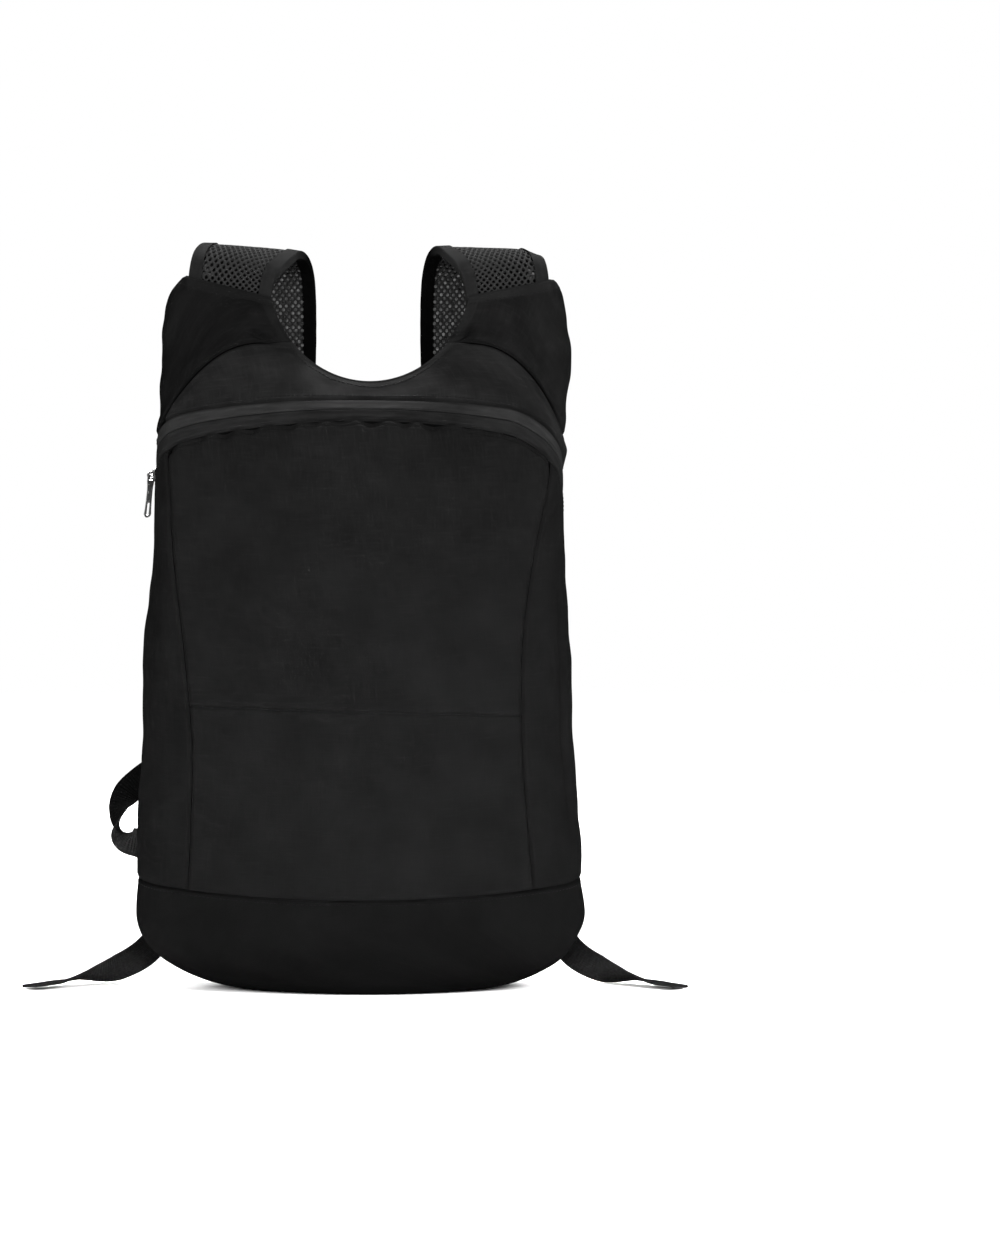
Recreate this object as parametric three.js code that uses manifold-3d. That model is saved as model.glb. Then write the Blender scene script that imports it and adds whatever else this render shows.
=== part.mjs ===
// Packable sports backpack in black nylon, with an arched zip and spacer-mesh shoulder straps.
// Millimetres, +Z up. The front of the bag faces -Y and the wearer's back is on the +Y side.
// The origin is on the floor under the middle of the base. Left is -X, as seen from the front.
import * as THREE from "three";
import { mergeVertices } from "three/addons/utils/BufferGeometryUtils.js";
import Module from "manifold-3d";

// Driving dimensions of the cloth and its seams
const CLOTH = 1.2;
const SEAM_GAP = 0.3;

// Body sections by height: half width, depth in front of and behind the side line,
// how far the side line leans towards the wearer, and how far the section sways to the right
const BODY = [
  { z: 52, half: 154, front: 67, back: 52, lean: 0, sway: 0 },
  { z: 80, half: 153, front: 68, back: 52, lean: 0, sway: -0.7 },
  { z: 170, half: 149, front: 66, back: 51, lean: 0, sway: -2 },
  { z: 240, half: 146, front: 60, back: 49, lean: 4, sway: -1.8 },
  { z: 295, half: 143, front: 52, back: 44.5, lean: 9, sway: -1.3 },
  { z: 346, half: 142, front: 42, back: 37, lean: 16, sway: -0.6 },
  { z: 376, half: 142, front: 33.5, back: 31, lean: 22, sway: 0 },
  { z: 400, half: 143.6, front: 26, back: 25, lean: 25.5, sway: 0.7 },
  { z: 420, half: 144, front: 19.5, back: 19.5, lean: 28, sway: 2 },
  { z: 440, half: 143.6, front: 14, back: 15, lean: 30, sway: 3 },
  { z: 458, half: 142, front: 11, back: 12, lean: 32, sway: 3.6 },
  { z: 475, half: 139, front: 9.5, back: 10.5, lean: 33.5, sway: 4.6 },
  { z: 486, half: 135, front: 8.5, back: 9.5, lean: 34, sway: 5.2 },
  { z: 496, half: 128, front: 8, back: 9, lean: 34.5, sway: 5.6 },
];
const CORNER_FRONT = 0.62; // corner radius as a share of the depth
const CORNER_BACK = 0.78;

// Flat that the bag stands on, at the bottom of the base's rounding
const FLAT = { half: 72, front: 40, back: 50, sway: 5 };

// Seams. Girth runs round a section: 0 front middle, 1 side line, 2 back middle, left negative.
const BACK_SEAM = 1.12;
const BASE_SEAM = { front: 65.7, rise: 12 };
const FRONT_SEAM = [
  { z: 65, left: -117, right: 118 },
  { z: 110, left: -115, right: 114 },
  { z: 170, left: -114, right: 110 },
  { z: 240, left: -121, right: 111 },
  { z: 300, left: -128.7, right: 119.8 },
  { z: 345, left: -131.3, right: 130 },
  { z: 370, left: -134, right: 133.5 },
];
const ZIP_BEND = 11; // power of the sharp turn that the zip takes at the sides
const ZIP_EDGES = {
  upper: { top: 407, bow: 14, turn: 16 },
  middle: { top: 399, bow: 17, turn: 17.5 },
  lower: { top: 391, bow: 20, turn: 19 },
};
const ZIP_SAG = { drop: 19, from: 0.65, to: 1.08 }; // its right-hand end hangs lower, past these girths
const NECK = { x: 7, z: 500, half: 72, drop: 80, pinch: 28, edge: 1.7 };
const SHOULDER_SEAM = { top: 447.5, start: 62, reach: 78, fall: 60, power: 2.75 };
const HEM = { inner: 70.7, z: 480, left: 0.25, right: 0.2 }; // its slopes on the two ears
const OPEN_HEM = { from: 446, to: 476 }; // heights between which the ears open round the straps

// Dents in the cloth: place by girth and height, spread each way, depth
const DENTS = [
  { girth: 0.89, z: 195, spread: 0.04, tall: 70, depth: 3 },
  { girth: -0.9, z: 215, spread: 0.04, tall: 45, depth: 1.8 },
];
const GATHER = { pitch: 24, depth: 0.9, fade: 12 };
const CREASE = { z: 200, depth: 0.7, tall: 4 };

// Shoulder straps: middle line of the right one, its width, and the faces up to the next row
const STRAP = { thick: 4, sway: 6 };
const STRAP_LINE = [
  { out: 97, y: 34, z: 450, wide: 54, steps: 2 },
  { out: 97, y: 34.2, z: 486, wide: 57, steps: 4 },
  { out: 93.5, y: 40, z: 502.5, wide: 60, steps: 5 },
  { out: 82, y: 61, z: 512, wide: 68, steps: 5 },
  { out: 76, y: 81, z: 501, wide: 71, steps: 4 },
  { out: 74, y: 90, z: 462, wide: 71, steps: 2 },
  { out: 76, y: 93, z: 400, wide: 69, steps: 2 },
  { out: 84, y: 94, z: 325, wide: 62, steps: 2 },
  { out: 96, y: 90, z: 258, wide: 52, steps: 2 },
  { out: 110, y: 80, z: 200, wide: 44, steps: 0 },
];
const BINDING = { lap: 8, thick: 0.8 };

// Strap adjuster: a plate with one slot, and the webbing round its lower bar
const LOCK = { wide: 32, tall: 24, thick: 2.6, slot: 22.4, slotTall: 7.5, bar: 2.6, corner: 3 };
const WEBBING = { wide: 20, thick: 1.4, turn: 2.85, leg: 6, steps: 2 };
const ANCHOR = { girth: 1.335, z: 56 }; // where the webbing is sewn to the base

// Webbing routes: middle line, and the direction across the width
const LEFT_LOOP = [
  { x: -121, y: 68, z: 166, across: [0.9, 0.05, -0.35] },
  { x: -139, y: 62, z: 151, across: [0.7, 0, -0.7] },
  { x: -154, y: 56, z: 140.5, across: [0.5, -0.1, -0.85] },
  { x: -164.5, y: 51, z: 131, across: [0.6, -0.35, -0.7] },
  { x: -170, y: 44, z: 119, across: [0.45, -0.8, -0.35] },
  { x: -169, y: 36.5, z: 106, across: [0.12, -0.9, -0.45] },
  { x: -163.5, y: 33, z: 99, across: [-0.05, -0.45, -0.88] },
  { x: -153, y: 35.5, z: 95.5, across: [-0.12, -0.05, -0.98] },
  { x: -134, y: 43, z: 80, across: [-0.6, 0.05, -0.8] },
];
const RIGHT_RUN = [
  { x: 119, y: 66, z: 160, across: [0.98, 0, 0.15] },
  { x: 122, y: 56, z: 120, across: [0.99, -0.05, 0.1] },
  { x: 120, y: 47, z: 84, across: [0.99, -0.08, 0] },
];
const TAIL = [
  { out: 119, y: 77, z: 160, across: [1, 0, 0.1] },
  { out: 124, y: 72, z: 115, across: [0.97, 0.05, -0.1] },
  { out: 130, y: 60, z: 69, across: [0.87, 0.25, -0.35] },
  { out: 138, y: 42, z: 38.5, across: [0.74, 0.25, -0.62] },
  { out: 149, y: 28, z: 22, across: [0.62, 0.1, -0.78] },
  { out: 169, y: 19, z: 11, across: [0.35, 0.42, -0.84] },
  { out: 192, y: 9, z: 7, across: [-0.4, 0.8, -0.4] },
  { out: 209, y: -4, z: 3.4, across: [-0.56, 0.82, -0.08] },
  { out: 226, y: -17, z: 2.3, across: [-0.5, 0.86, -0.1] },
];
const TAIL_LEAVES = 149; // how far out the tails come from behind the bag
const TAIL_REACH = { left: 1, right: 0.91 }; // lengths of the two loose ends, compared with the table
const TAIL_LIFT = { left: 1, right: 0.94 }; // heights of the two loose ends, compared with the table

// Zip slider and its pull, on the left end of the zip
const SLIDER = { girth: -1.046, long: 11, thick: 1.6, pivot: 2.7 };
const SLIDER_HALF = { nose: 2.8, bulge: 4.7, middle: 3.4, tail: 2.25 }; // half widths along its length
const BRIDGE = { inner: 1.8, outer: 2.9, wide: 1.5, sink: 0.4 }; // its feet sink into the plate
const PULL = { long: 33, wide: 5.4, waist: 4, thick: 1, twist: 45, hang: 15, hole: 1.1, holeLong: 8 };
const PULL_EYE = { half: 1.9, bar: 0.7, clear: 0.7 }; // the bar lies in the bridge, with clearance past it
const PULL_NECK = { start: 1, bend: 5, end: 9, flare: 6 }; // where the tab narrows below its eye

// Finishes
const FINISH = {
  cloth: { color: 0x1b1b1c, roughness: 0.8, metalness: 0 },
  zip: { color: 0x222223, roughness: 0.75, metalness: 0 },
  mesh: { color: 0x2b2b2c, roughness: 0.9, metalness: 0 },
  binding: { color: 0x141414, roughness: 0.8, metalness: 0 },
  webbing: { color: 0x19191a, roughness: 0.85, metalness: 0 },
  plastic: { color: 0x161616, roughness: 0.5, metalness: 0 },
  metal: { color: 0x2c2c2e, roughness: 0.35, metalness: 0.9 },
};

const wasm = await Module();
wasm.setup();

const lerp = THREE.MathUtils.lerp;
const bag = new THREE.Group();

function addMesh(name, geometry, finish) {
  const mesh = new THREE.Mesh(geometry, new THREE.MeshStandardMaterial(FINISH[finish]));
  mesh.name = name;
  bag.add(mesh);
  return mesh;
}

// A smooth curve through one column of a table, held at its end values
function column(table, key, name) {
  const slopes = table.map((row, i) => {
    const before = table[Math.max(i - 1, 0)];
    const after = table[Math.min(i + 1, table.length - 1)];
    return (after[name] - before[name]) / (after[key] - before[key]);
  });
  return (at) => {
    const last = table.length - 2;
    const i = Math.min(Math.max(table.findIndex((row) => row[key] > at) - 1, 0), last);
    const k = at >= table[last][key] ? last : i;
    const span = table[k + 1][key] - table[k][key];
    const t = THREE.MathUtils.clamp((at - table[k][key]) / span, 0, 1);
    const rise = t * t * (3 - 2 * t);
    const bend = t * (1 - t) * ((1 - t) * slopes[k] - t * slopes[k + 1]) * span;
    return lerp(table[k][name], table[k + 1][name], rise) + bend;
  };
}

const bodyColumns = {};
for (const name of ["half", "front", "back", "lean", "sway"]) bodyColumns[name] = column(BODY, "z", name);
const frontSeam = { left: column(FRONT_SEAM, "z", "left"), right: column(FRONT_SEAM, "z", "right") };

function sectionAt(z) {
  const section = {};
  for (const name in bodyColumns) section[name] = bodyColumns[name](z);
  return section;
}

// A quarter of a section: a shallow arc for the face that runs into a tighter corner arc
function quarter(half, depth, share) {
  const corner = depth * share;
  const wide = half - corner;
  const deep = depth - corner;
  const step = (wide * wide + deep * deep) / (2 * deep);
  const radius = corner + step;
  const turn = Math.asin(wide / step);
  const face = radius * turn;
  return { depth, corner, wide, radius, turn, face, length: face + corner * (Math.PI / 2 - turn) };
}

function quarterPoint(arc, share) {
  const run = share * arc.length;
  if (run < arc.face) {
    const angle = run / arc.radius;
    const fall = arc.radius * (1 - Math.cos(angle));
    return { across: arc.radius * Math.sin(angle), depth: arc.depth - fall };
  }
  const angle = arc.turn + (run - arc.face) / arc.corner;
  return { across: arc.wide + arc.corner * Math.sin(angle), depth: arc.corner * Math.cos(angle) };
}

function sectionPoint(section, girth) {
  const inFront = Math.abs(girth) <= 1;
  const arc = inFront
    ? quarter(section.half, section.front, CORNER_FRONT)
    : quarter(section.half, section.back, CORNER_BACK);
  const spot = quarterPoint(arc, inFront ? Math.abs(girth) : 2 - Math.abs(girth));
  const side = girth < 0 ? -1 : 1;
  return { x: section.sway + side * spot.across, depth: inFront ? -spot.depth : spot.depth };
}

// Girth of the point on a front face at the sideways place x
function girthAt(x, z) {
  const section = sectionAt(z);
  const arc = quarter(section.half, section.front, CORNER_FRONT);
  const out = Math.abs(x - section.sway);
  const side = x < section.sway ? -1 : 1;
  if (out < arc.radius * Math.sin(arc.turn)) {
    return (side * arc.radius * Math.asin(out / arc.radius)) / arc.length;
  }
  const angle = Math.asin(Math.min((out - arc.wide) / arc.corner, 1));
  return (side * (arc.face + arc.corner * (angle - arc.turn))) / arc.length;
}

// Near the neck the front and back cloth close up on each other, and they open round the straps
function pinched(depth, x, z) {
  const away = (Math.hypot((x - NECK.x) / NECK.half, (NECK.z - z) / NECK.drop) - 1) * NECK.half;
  const near = 1 - THREE.MathUtils.clamp(away / NECK.pinch, 0, 1);
  const closed = Math.max(Math.abs(depth) * (1 - near * near), Math.min(NECK.edge, Math.abs(depth)));
  const open = THREE.MathUtils.smoothstep(z, OPEN_HEM.from, OPEN_HEM.to);
  return Math.sign(depth) * lerp(closed, Math.abs(depth), open);
}

function bodyPoint(girth, z) {
  const section = sectionAt(z);
  const spot = sectionPoint(section, girth);
  return new THREE.Vector3(spot.x, section.lean + pinched(spot.depth, spot.x, z), z);
}

function outwardAt(girth, z) {
  const along = bodyPoint(girth + 0.01, z).sub(bodyPoint(girth - 0.01, z));
  const up = bodyPoint(girth, z + 1).sub(bodyPoint(girth, z - 1));
  return along.cross(up).normalize();
}

// Seam heights
function zipHeight(edge, girth) {
  const g = Math.abs(girth);
  const { bow, turn } = ZIP_EDGES[edge];
  const sag = ZIP_SAG.drop * THREE.MathUtils.smoothstep(girth, ZIP_SAG.from, ZIP_SAG.to);
  const top = ZIP_EDGES[edge].top - sag;
  if (g > 1) return top - bow - turn - (2 * bow + ZIP_BEND * turn) * (g - 1);
  return top - bow * g * g - turn * g ** ZIP_BEND;
}

function baseSeam(girth) {
  return BASE_SEAM.front + BASE_SEAM.rise * Math.min(Math.abs(girth), 1) ** 2;
}

function neckHeight(x) {
  const share = (x - NECK.x) / NECK.half;
  return Math.abs(share) < 1 ? NECK.z - NECK.drop * Math.sqrt(1 - share * share) : NECK.z;
}

function neckEdge(side, z) {
  return NECK.x + side * NECK.half * Math.sqrt(1 - ((NECK.z - z) / NECK.drop) ** 2);
}

// Distance out from the middle, which goes on growing behind the side line
function reach(girth, z) {
  const section = sectionAt(z);
  if (Math.abs(girth) <= 1) return Math.abs(sectionPoint(section, girth).x - section.sway);
  return section.half + (Math.abs(girth) - 1) * section.back;
}

function shoulderSeam(girth, z) {
  const run = Math.max((reach(girth, z) - SHOULDER_SEAM.start) / SHOULDER_SEAM.reach, 0);
  return SHOULDER_SEAM.top - SHOULDER_SEAM.fall * run ** SHOULDER_SEAM.power;
}

function hemHeight(girth, z) {
  const out = Math.min(reach(girth, z), sectionAt(z).half);
  return HEM.z + (girth < 0 ? HEM.left : HEM.right) * (out - HEM.inner);
}

// Height at the share t between two edges that themselves depend on height
function settle(low, high, t) {
  let z = 0.5 * (low(300) + high(300));
  for (let round = 0; round < 12; round += 1) z = lerp(low(z), high(z), t);
  return z;
}

// A closed solid from faces given as loops of points, with each four-sided one cut the short way
function solid(loops) {
  const corners = [];
  const push = (a, b, c) => {
    const flat = a.distanceTo(b) < 1e-4 || b.distanceTo(c) < 1e-4 || c.distanceTo(a) < 1e-4;
    if (!flat) for (const p of [a, b, c]) corners.push(p.x, p.y, p.z);
  };
  for (const [a, b, c, d] of loops) {
    if (d && b.distanceTo(d) < a.distanceTo(c)) {
      push(a, b, d);
      push(b, c, d);
    } else {
      push(a, b, c);
      if (d) push(a, c, d);
    }
  }
  const geometry = new THREE.BufferGeometry();
  geometry.setAttribute("position", new THREE.Float32BufferAttribute(corners, 3));
  const merged = mergeVertices(geometry, 1e-4);
  merged.computeVertexNormals();
  return merged;
}

// A sheet of cloth: the outer face over two lists of shares, its inner face, and the rim between.
// Outwards is the columns' direction turned towards the rows' direction.
function sheet(surface, columns, rows, relief, closed) {
  const step = 1e-3;
  const face = (c, r) => {
    const along = surface(c + step, r).sub(surface(c - step, r));
    const up = surface(c, Math.min(r + step, 1)).sub(surface(c, Math.max(r - step, 0)));
    const outward = along.cross(up);
    if (outward.length() < 1e-9) outward.set(0, 0, -1);
    outward.normalize();
    const outer = surface(c, r).addScaledVector(outward, relief ? relief(c, r) : 0);
    return { outer, inner: outer.clone().addScaledVector(outward, -CLOTH) };
  };
  const grid = columns.map((c) => rows.map((r) => face(c, r)));
  if (closed) grid[grid.length - 1] = grid[0];
  const loops = [];
  const lastRow = rows.length - 1;
  for (let i = 0; i < columns.length - 1; i += 1) {
    const [a, b] = [grid[i], grid[i + 1]];
    for (let j = 0; j < lastRow; j += 1) {
      loops.push([a[j].outer, b[j].outer, b[j + 1].outer, a[j + 1].outer]);
      loops.push([a[j].inner, a[j + 1].inner, b[j + 1].inner, b[j].inner]);
    }
    loops.push([a[lastRow].outer, b[lastRow].outer, b[lastRow].inner, a[lastRow].inner]);
    loops.push([a[0].outer, a[0].inner, b[0].inner, b[0].outer]);
  }
  if (!closed) {
    const [first, last] = [grid[0], grid[grid.length - 1]];
    for (let j = 0; j < lastRow; j += 1) {
      loops.push([first[j].outer, first[j + 1].outer, first[j + 1].inner, first[j].inner]);
      loops.push([last[j].outer, last[j].inner, last[j + 1].inner, last[j + 1].outer]);
    }
  }
  return solid(loops);
}

const shares = (count) => Array.from({ length: count + 1 }, (_, i) => i / count);
const half = SEAM_GAP / 2;

// Girth that a seam gap takes up at a side seam, and the wider one along the back panel
const girthGap = half / 150;
const backGap = 6 * girthGap;

// Base: a bowl whose rounding runs from the side walls to the flat that it stands on
const ROUND_TOP = BODY[0].z;
const WALL_ROWS = 1;
const ROUND_ROWS = 5;
const FLAT_ROWS = 1;
const baseRows = shares(WALL_ROWS + ROUND_ROWS + FLAT_ROWS);

function basePoint(c, r) {
  const girth = THREE.MathUtils.euclideanModulo(c * 4, 4) - 2;
  const place = r * (WALL_ROWS + ROUND_ROWS + FLAT_ROWS);
  if (place >= FLAT_ROWS + ROUND_ROWS) {
    const top = baseSeam(girth) - half;
    return bodyPoint(girth, lerp(ROUND_TOP, top, (place - FLAT_ROWS - ROUND_ROWS) / WALL_ROWS));
  }
  const share = THREE.MathUtils.clamp((place - FLAT_ROWS) / ROUND_ROWS, 0, 1);
  const angle = (1 - share) * (Math.PI / 2);
  const wall = sectionAt(ROUND_TOP);
  const section = {};
  for (const name in FLAT) section[name] = lerp(FLAT[name], wall[name], Math.cos(angle));
  const spot = sectionPoint(section, girth);
  const spread = Math.min(place / FLAT_ROWS, 1);
  return new THREE.Vector3(spot.x * spread, spot.depth * spread, ROUND_TOP * (1 - Math.sin(angle)));
}
addMesh("base_panel", sheet(basePoint, shares(36), baseRows, null, true), "cloth");

// Dents of the side cloth, and the gathers and fold of the front
function dent(girth, z) {
  let depth = 0;
  for (const fold of DENTS) {
    const across = (girth - fold.girth) / fold.spread;
    const up = (z - fold.z) / fold.tall;
    depth -= fold.depth * Math.exp(-across * across - up * up);
  }
  return depth;
}

// Front panel, between the side seams, the base seam and the lower zip tape
const frontColumns = shares(40);
const panelRows = [0, 0.12, 0.26, 0.385, 0.412, 0.428, 0.444, 0.47, 0.62, 0.76, 0.88, 0.95, 1];

function frontPlace(c, r) {
  const girth = (z) => {
    const left = girthAt(frontSeam.left(z), z) + girthGap;
    const right = girthAt(frontSeam.right(z), z) - girthGap;
    return lerp(left, right, c);
  };
  const low = (z) => baseSeam(girth(z)) + half;
  const high = (z) => zipHeight("lower", girth(z)) - half;
  const z = settle(low, high, r);
  return { girth: girth(z), z, below: high(z) - z };
}

function frontRelief(c, r) {
  const { girth, z, below } = frontPlace(c, r);
  const wave = Math.cos((2 * Math.PI * bodyPoint(girth, z).x) / GATHER.pitch);
  const crease = CREASE.depth * Math.exp(-(((z - CREASE.z) / CREASE.tall) ** 2));
  return GATHER.depth * wave * Math.exp(-below / GATHER.fade) - crease;
}

function frontPoint(c, r) {
  const { girth, z } = frontPlace(c, r);
  return bodyPoint(girth, z);
}
addMesh("front_panel", sheet(frontPoint, frontColumns, panelRows, frontRelief), "cloth");

// Side panels, from the front seams round the side line to the back seams
const sideColumns = shares(9);

function sidePlace(side, c, r) {
  const seam = side < 0 ? frontSeam.left : frontSeam.right;
  const girth = (z) => {
    const front = girthAt(seam(z), z) + side * girthGap;
    const back = side * (BACK_SEAM - girthGap);
    return side < 0 ? lerp(back, front, c) : lerp(front, back, c);
  };
  const low = (z) => baseSeam(girth(z)) + half;
  const high = (z) => zipHeight("lower", girth(z)) - half;
  const z = settle(low, high, r);
  return { girth: girth(z), z };
}

function sidePanel(side) {
  const surface = (c, r) => {
    const { girth, z } = sidePlace(side, c, r);
    return bodyPoint(girth, z);
  };
  const relief = (c, r) => {
    const { girth, z } = sidePlace(side, c, r);
    return dent(girth, z);
  };
  return sheet(surface, sideColumns, panelRows, relief);
}
addMesh("side_panel_left", sidePanel(-1), "cloth");
addMesh("side_panel_right", sidePanel(1), "cloth");

// Zip tapes, which run from back seam to back seam and meet along the middle of the zip.
// Their columns stand over those of the panels below.
const zipColumns = [
  ...sideColumns.map((c) => sidePlace(-1, c, 1).girth),
  ...frontColumns.map((c) => frontPlace(c, 1).girth),
  ...sideColumns.map((c) => sidePlace(1, c, 1).girth),
];

function zipTape(lowEdge, highEdge) {
  const surface = (girth, r) => {
    const low = zipHeight(lowEdge, girth) + half;
    const high = zipHeight(highEdge, girth) - half;
    return bodyPoint(girth, lerp(low, high, r));
  };
  return sheet(surface, zipColumns, shares(1));
}
addMesh("zip_tape_lower", zipTape("lower", "middle"), "zip");
addMesh("zip_tape_upper", zipTape("middle", "upper"), "zip");

// Yoke, from the upper zip tape to the neck and to the seams of the shoulder panels
function yokePoint(girth, r) {
  const low = () => zipHeight("upper", girth) + half;
  const high = (z) => {
    const x = sectionPoint(sectionAt(z), girth).x;
    return Math.min(neckHeight(x), shoulderSeam(girth, z) - half);
  };
  return bodyPoint(girth, settle(low, high, r));
}
addMesh("yoke_panel", sheet(yokePoint, zipColumns, shares(3)), "cloth");

// Shoulder panels, the ears of cloth over the roots of the straps.
// Along their lower seam their columns stand over those of the yoke.
function shoulderPanel(side) {
  const innerGirth = (z) => girthAt(neckEdge(side, Math.max(z, SHOULDER_SEAM.top)), z);
  const outerGirth = side * (BACK_SEAM - girthGap);
  const surface = (c, r) => {
    const girth = (z) => lerp(innerGirth(z), outerGirth, side < 0 ? 1 - c : c);
    const low = (z) => shoulderSeam(girth(z), z) + half;
    const high = (z) => hemHeight(girth(z), z);
    const z = settle(low, high, r);
    return bodyPoint(girth(z), z);
  };
  const columns = [0, 1];
  for (const girth of zipColumns) {
    const z = settle((height) => shoulderSeam(girth, height), (height) => shoulderSeam(girth, height), 0);
    const c = (girth - innerGirth(z)) / (outerGirth - innerGirth(z));
    if (c > 0.02 && c < 0.999) columns.push(side < 0 ? 1 - c : c);
  }
  return sheet(surface, columns.sort((a, b) => a - b), shares(4));
}
addMesh("shoulder_panel_left", shoulderPanel(-1), "cloth");
addMesh("shoulder_panel_right", shoulderPanel(1), "cloth");

// Back panel, one piece from the base seam to the neck and the hems of the ears
const backRows = [0, 0.2, 0.38, 0.52, 0.62, 0.7, 0.77, 0.84, 0.92, 1];

function backPoint(c, r) {
  const turn = lerp(BACK_SEAM + backGap, 4 - BACK_SEAM - backGap, c);
  const girth = turn <= 2 ? turn : turn - 4;
  const low = () => baseSeam(girth) + half;
  const high = (z) => {
    const x = sectionPoint(sectionAt(z), girth).x;
    return Math.min(neckHeight(x), hemHeight(girth, z));
  };
  return bodyPoint(girth, settle(low, high, r));
}
addMesh("back_panel", sheet(backPoint, shares(20), backRows), "cloth");

// A strip swept along a smooth line through stations, each with the direction across its width
function strip(stations, profile) {
  const curve = new THREE.CatmullRomCurve3(stations.map((station) => station.at));
  const places = [0];
  stations.slice(0, -1).forEach((station, k) => {
    for (let i = 1; i <= station.steps; i += 1) places.push(k + i / station.steps);
  });
  const count = places.length - 1;
  const rings = places.map((place) => {
    const k = Math.min(Math.floor(place), stations.length - 2);
    const { origin, across, normal } = frameOn(curve, stations, k, place - k);
    const outline = profile(place);
    return outline.map(([w, n]) => origin.clone().addScaledVector(across, w).addScaledVector(normal, n));
  });
  const outline = profile(0).map(([w, n]) => new THREE.Vector2(w, n));
  const caps = THREE.ShapeUtils.triangulateShape(outline, []);
  const loops = [];
  for (const [a, b, c] of caps) {
    const [first, last] = [rings[0], rings[count]];
    loops.push([first[a], first[b], first[c]]);
    loops.push([last[a], last[c], last[b]]);
  }
  for (let i = 0; i < count; i += 1) {
    for (let j = 0; j < outline.length; j += 1) {
      const next = (j + 1) % outline.length;
      loops.push([rings[i][j], rings[i + 1][j], rings[i + 1][next], rings[i][next]]);
    }
  }
  return solid(loops);
}

// Frame on a strip's line: along it, across its width, and out of its face
function frameOn(curve, stations, k, t) {
  const share = (k + t) / (stations.length - 1);
  const origin = curve.getPoint(share);
  const along = curve.getTangent(share);
  const across = stations[k].across.clone().lerp(stations[k + 1].across, t);
  across.addScaledVector(along, -across.dot(along)).normalize();
  const normal = across.clone().cross(along);
  return { origin, along, across, normal };
}

const rectangle = (wide, thick) => [
  [-wide / 2, -thick / 2],
  [wide / 2, -thick / 2],
  [wide / 2, thick / 2],
  [-wide / 2, thick / 2],
];

// Strap: its faces are parted where the edge bindings stop
function strapProfile(edge) {
  const across = [-edge, BINDING.lap - edge, 0, edge - BINDING.lap, edge];
  const under = across.map((w) => [w, -STRAP.thick / 2]);
  const over = across.map((w) => [w, STRAP.thick / 2]).reverse();
  return [...under, ...over];
}

// Edge binding: tape folded over one edge of the strap
function bindingProfile(edge, side) {
  const near = STRAP.thick / 2 + SEAM_GAP;
  const far = near + BINDING.thick;
  const lap = edge - BINDING.lap;
  const wall = edge + SEAM_GAP;
  const cover = wall + BINDING.thick;
  const outline = [
    [lap, -far],
    [cover, -far],
    [cover, far],
    [lap, far],
    [lap, near],
    [wall, near],
    [wall, -near],
    [lap, -near],
  ];
  return side > 0 ? outline : outline.map(([w, n]) => [-w, n]).reverse();
}

const strapWidth = column(
  STRAP_LINE.map((row, i) => ({ place: i, wide: row.wide })),
  "place",
  "wide",
);
const SIDES = { left: -1, right: 1 };

function tailOut(out, name) {
  return Math.min(out, TAIL_LEAVES) + Math.max(out - TAIL_LEAVES, 0) * TAIL_REACH[name];
}

function tailHeight(row, name) {
  return row.out < TAIL_LEAVES ? row.z : row.z * TAIL_LIFT[name];
}

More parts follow.
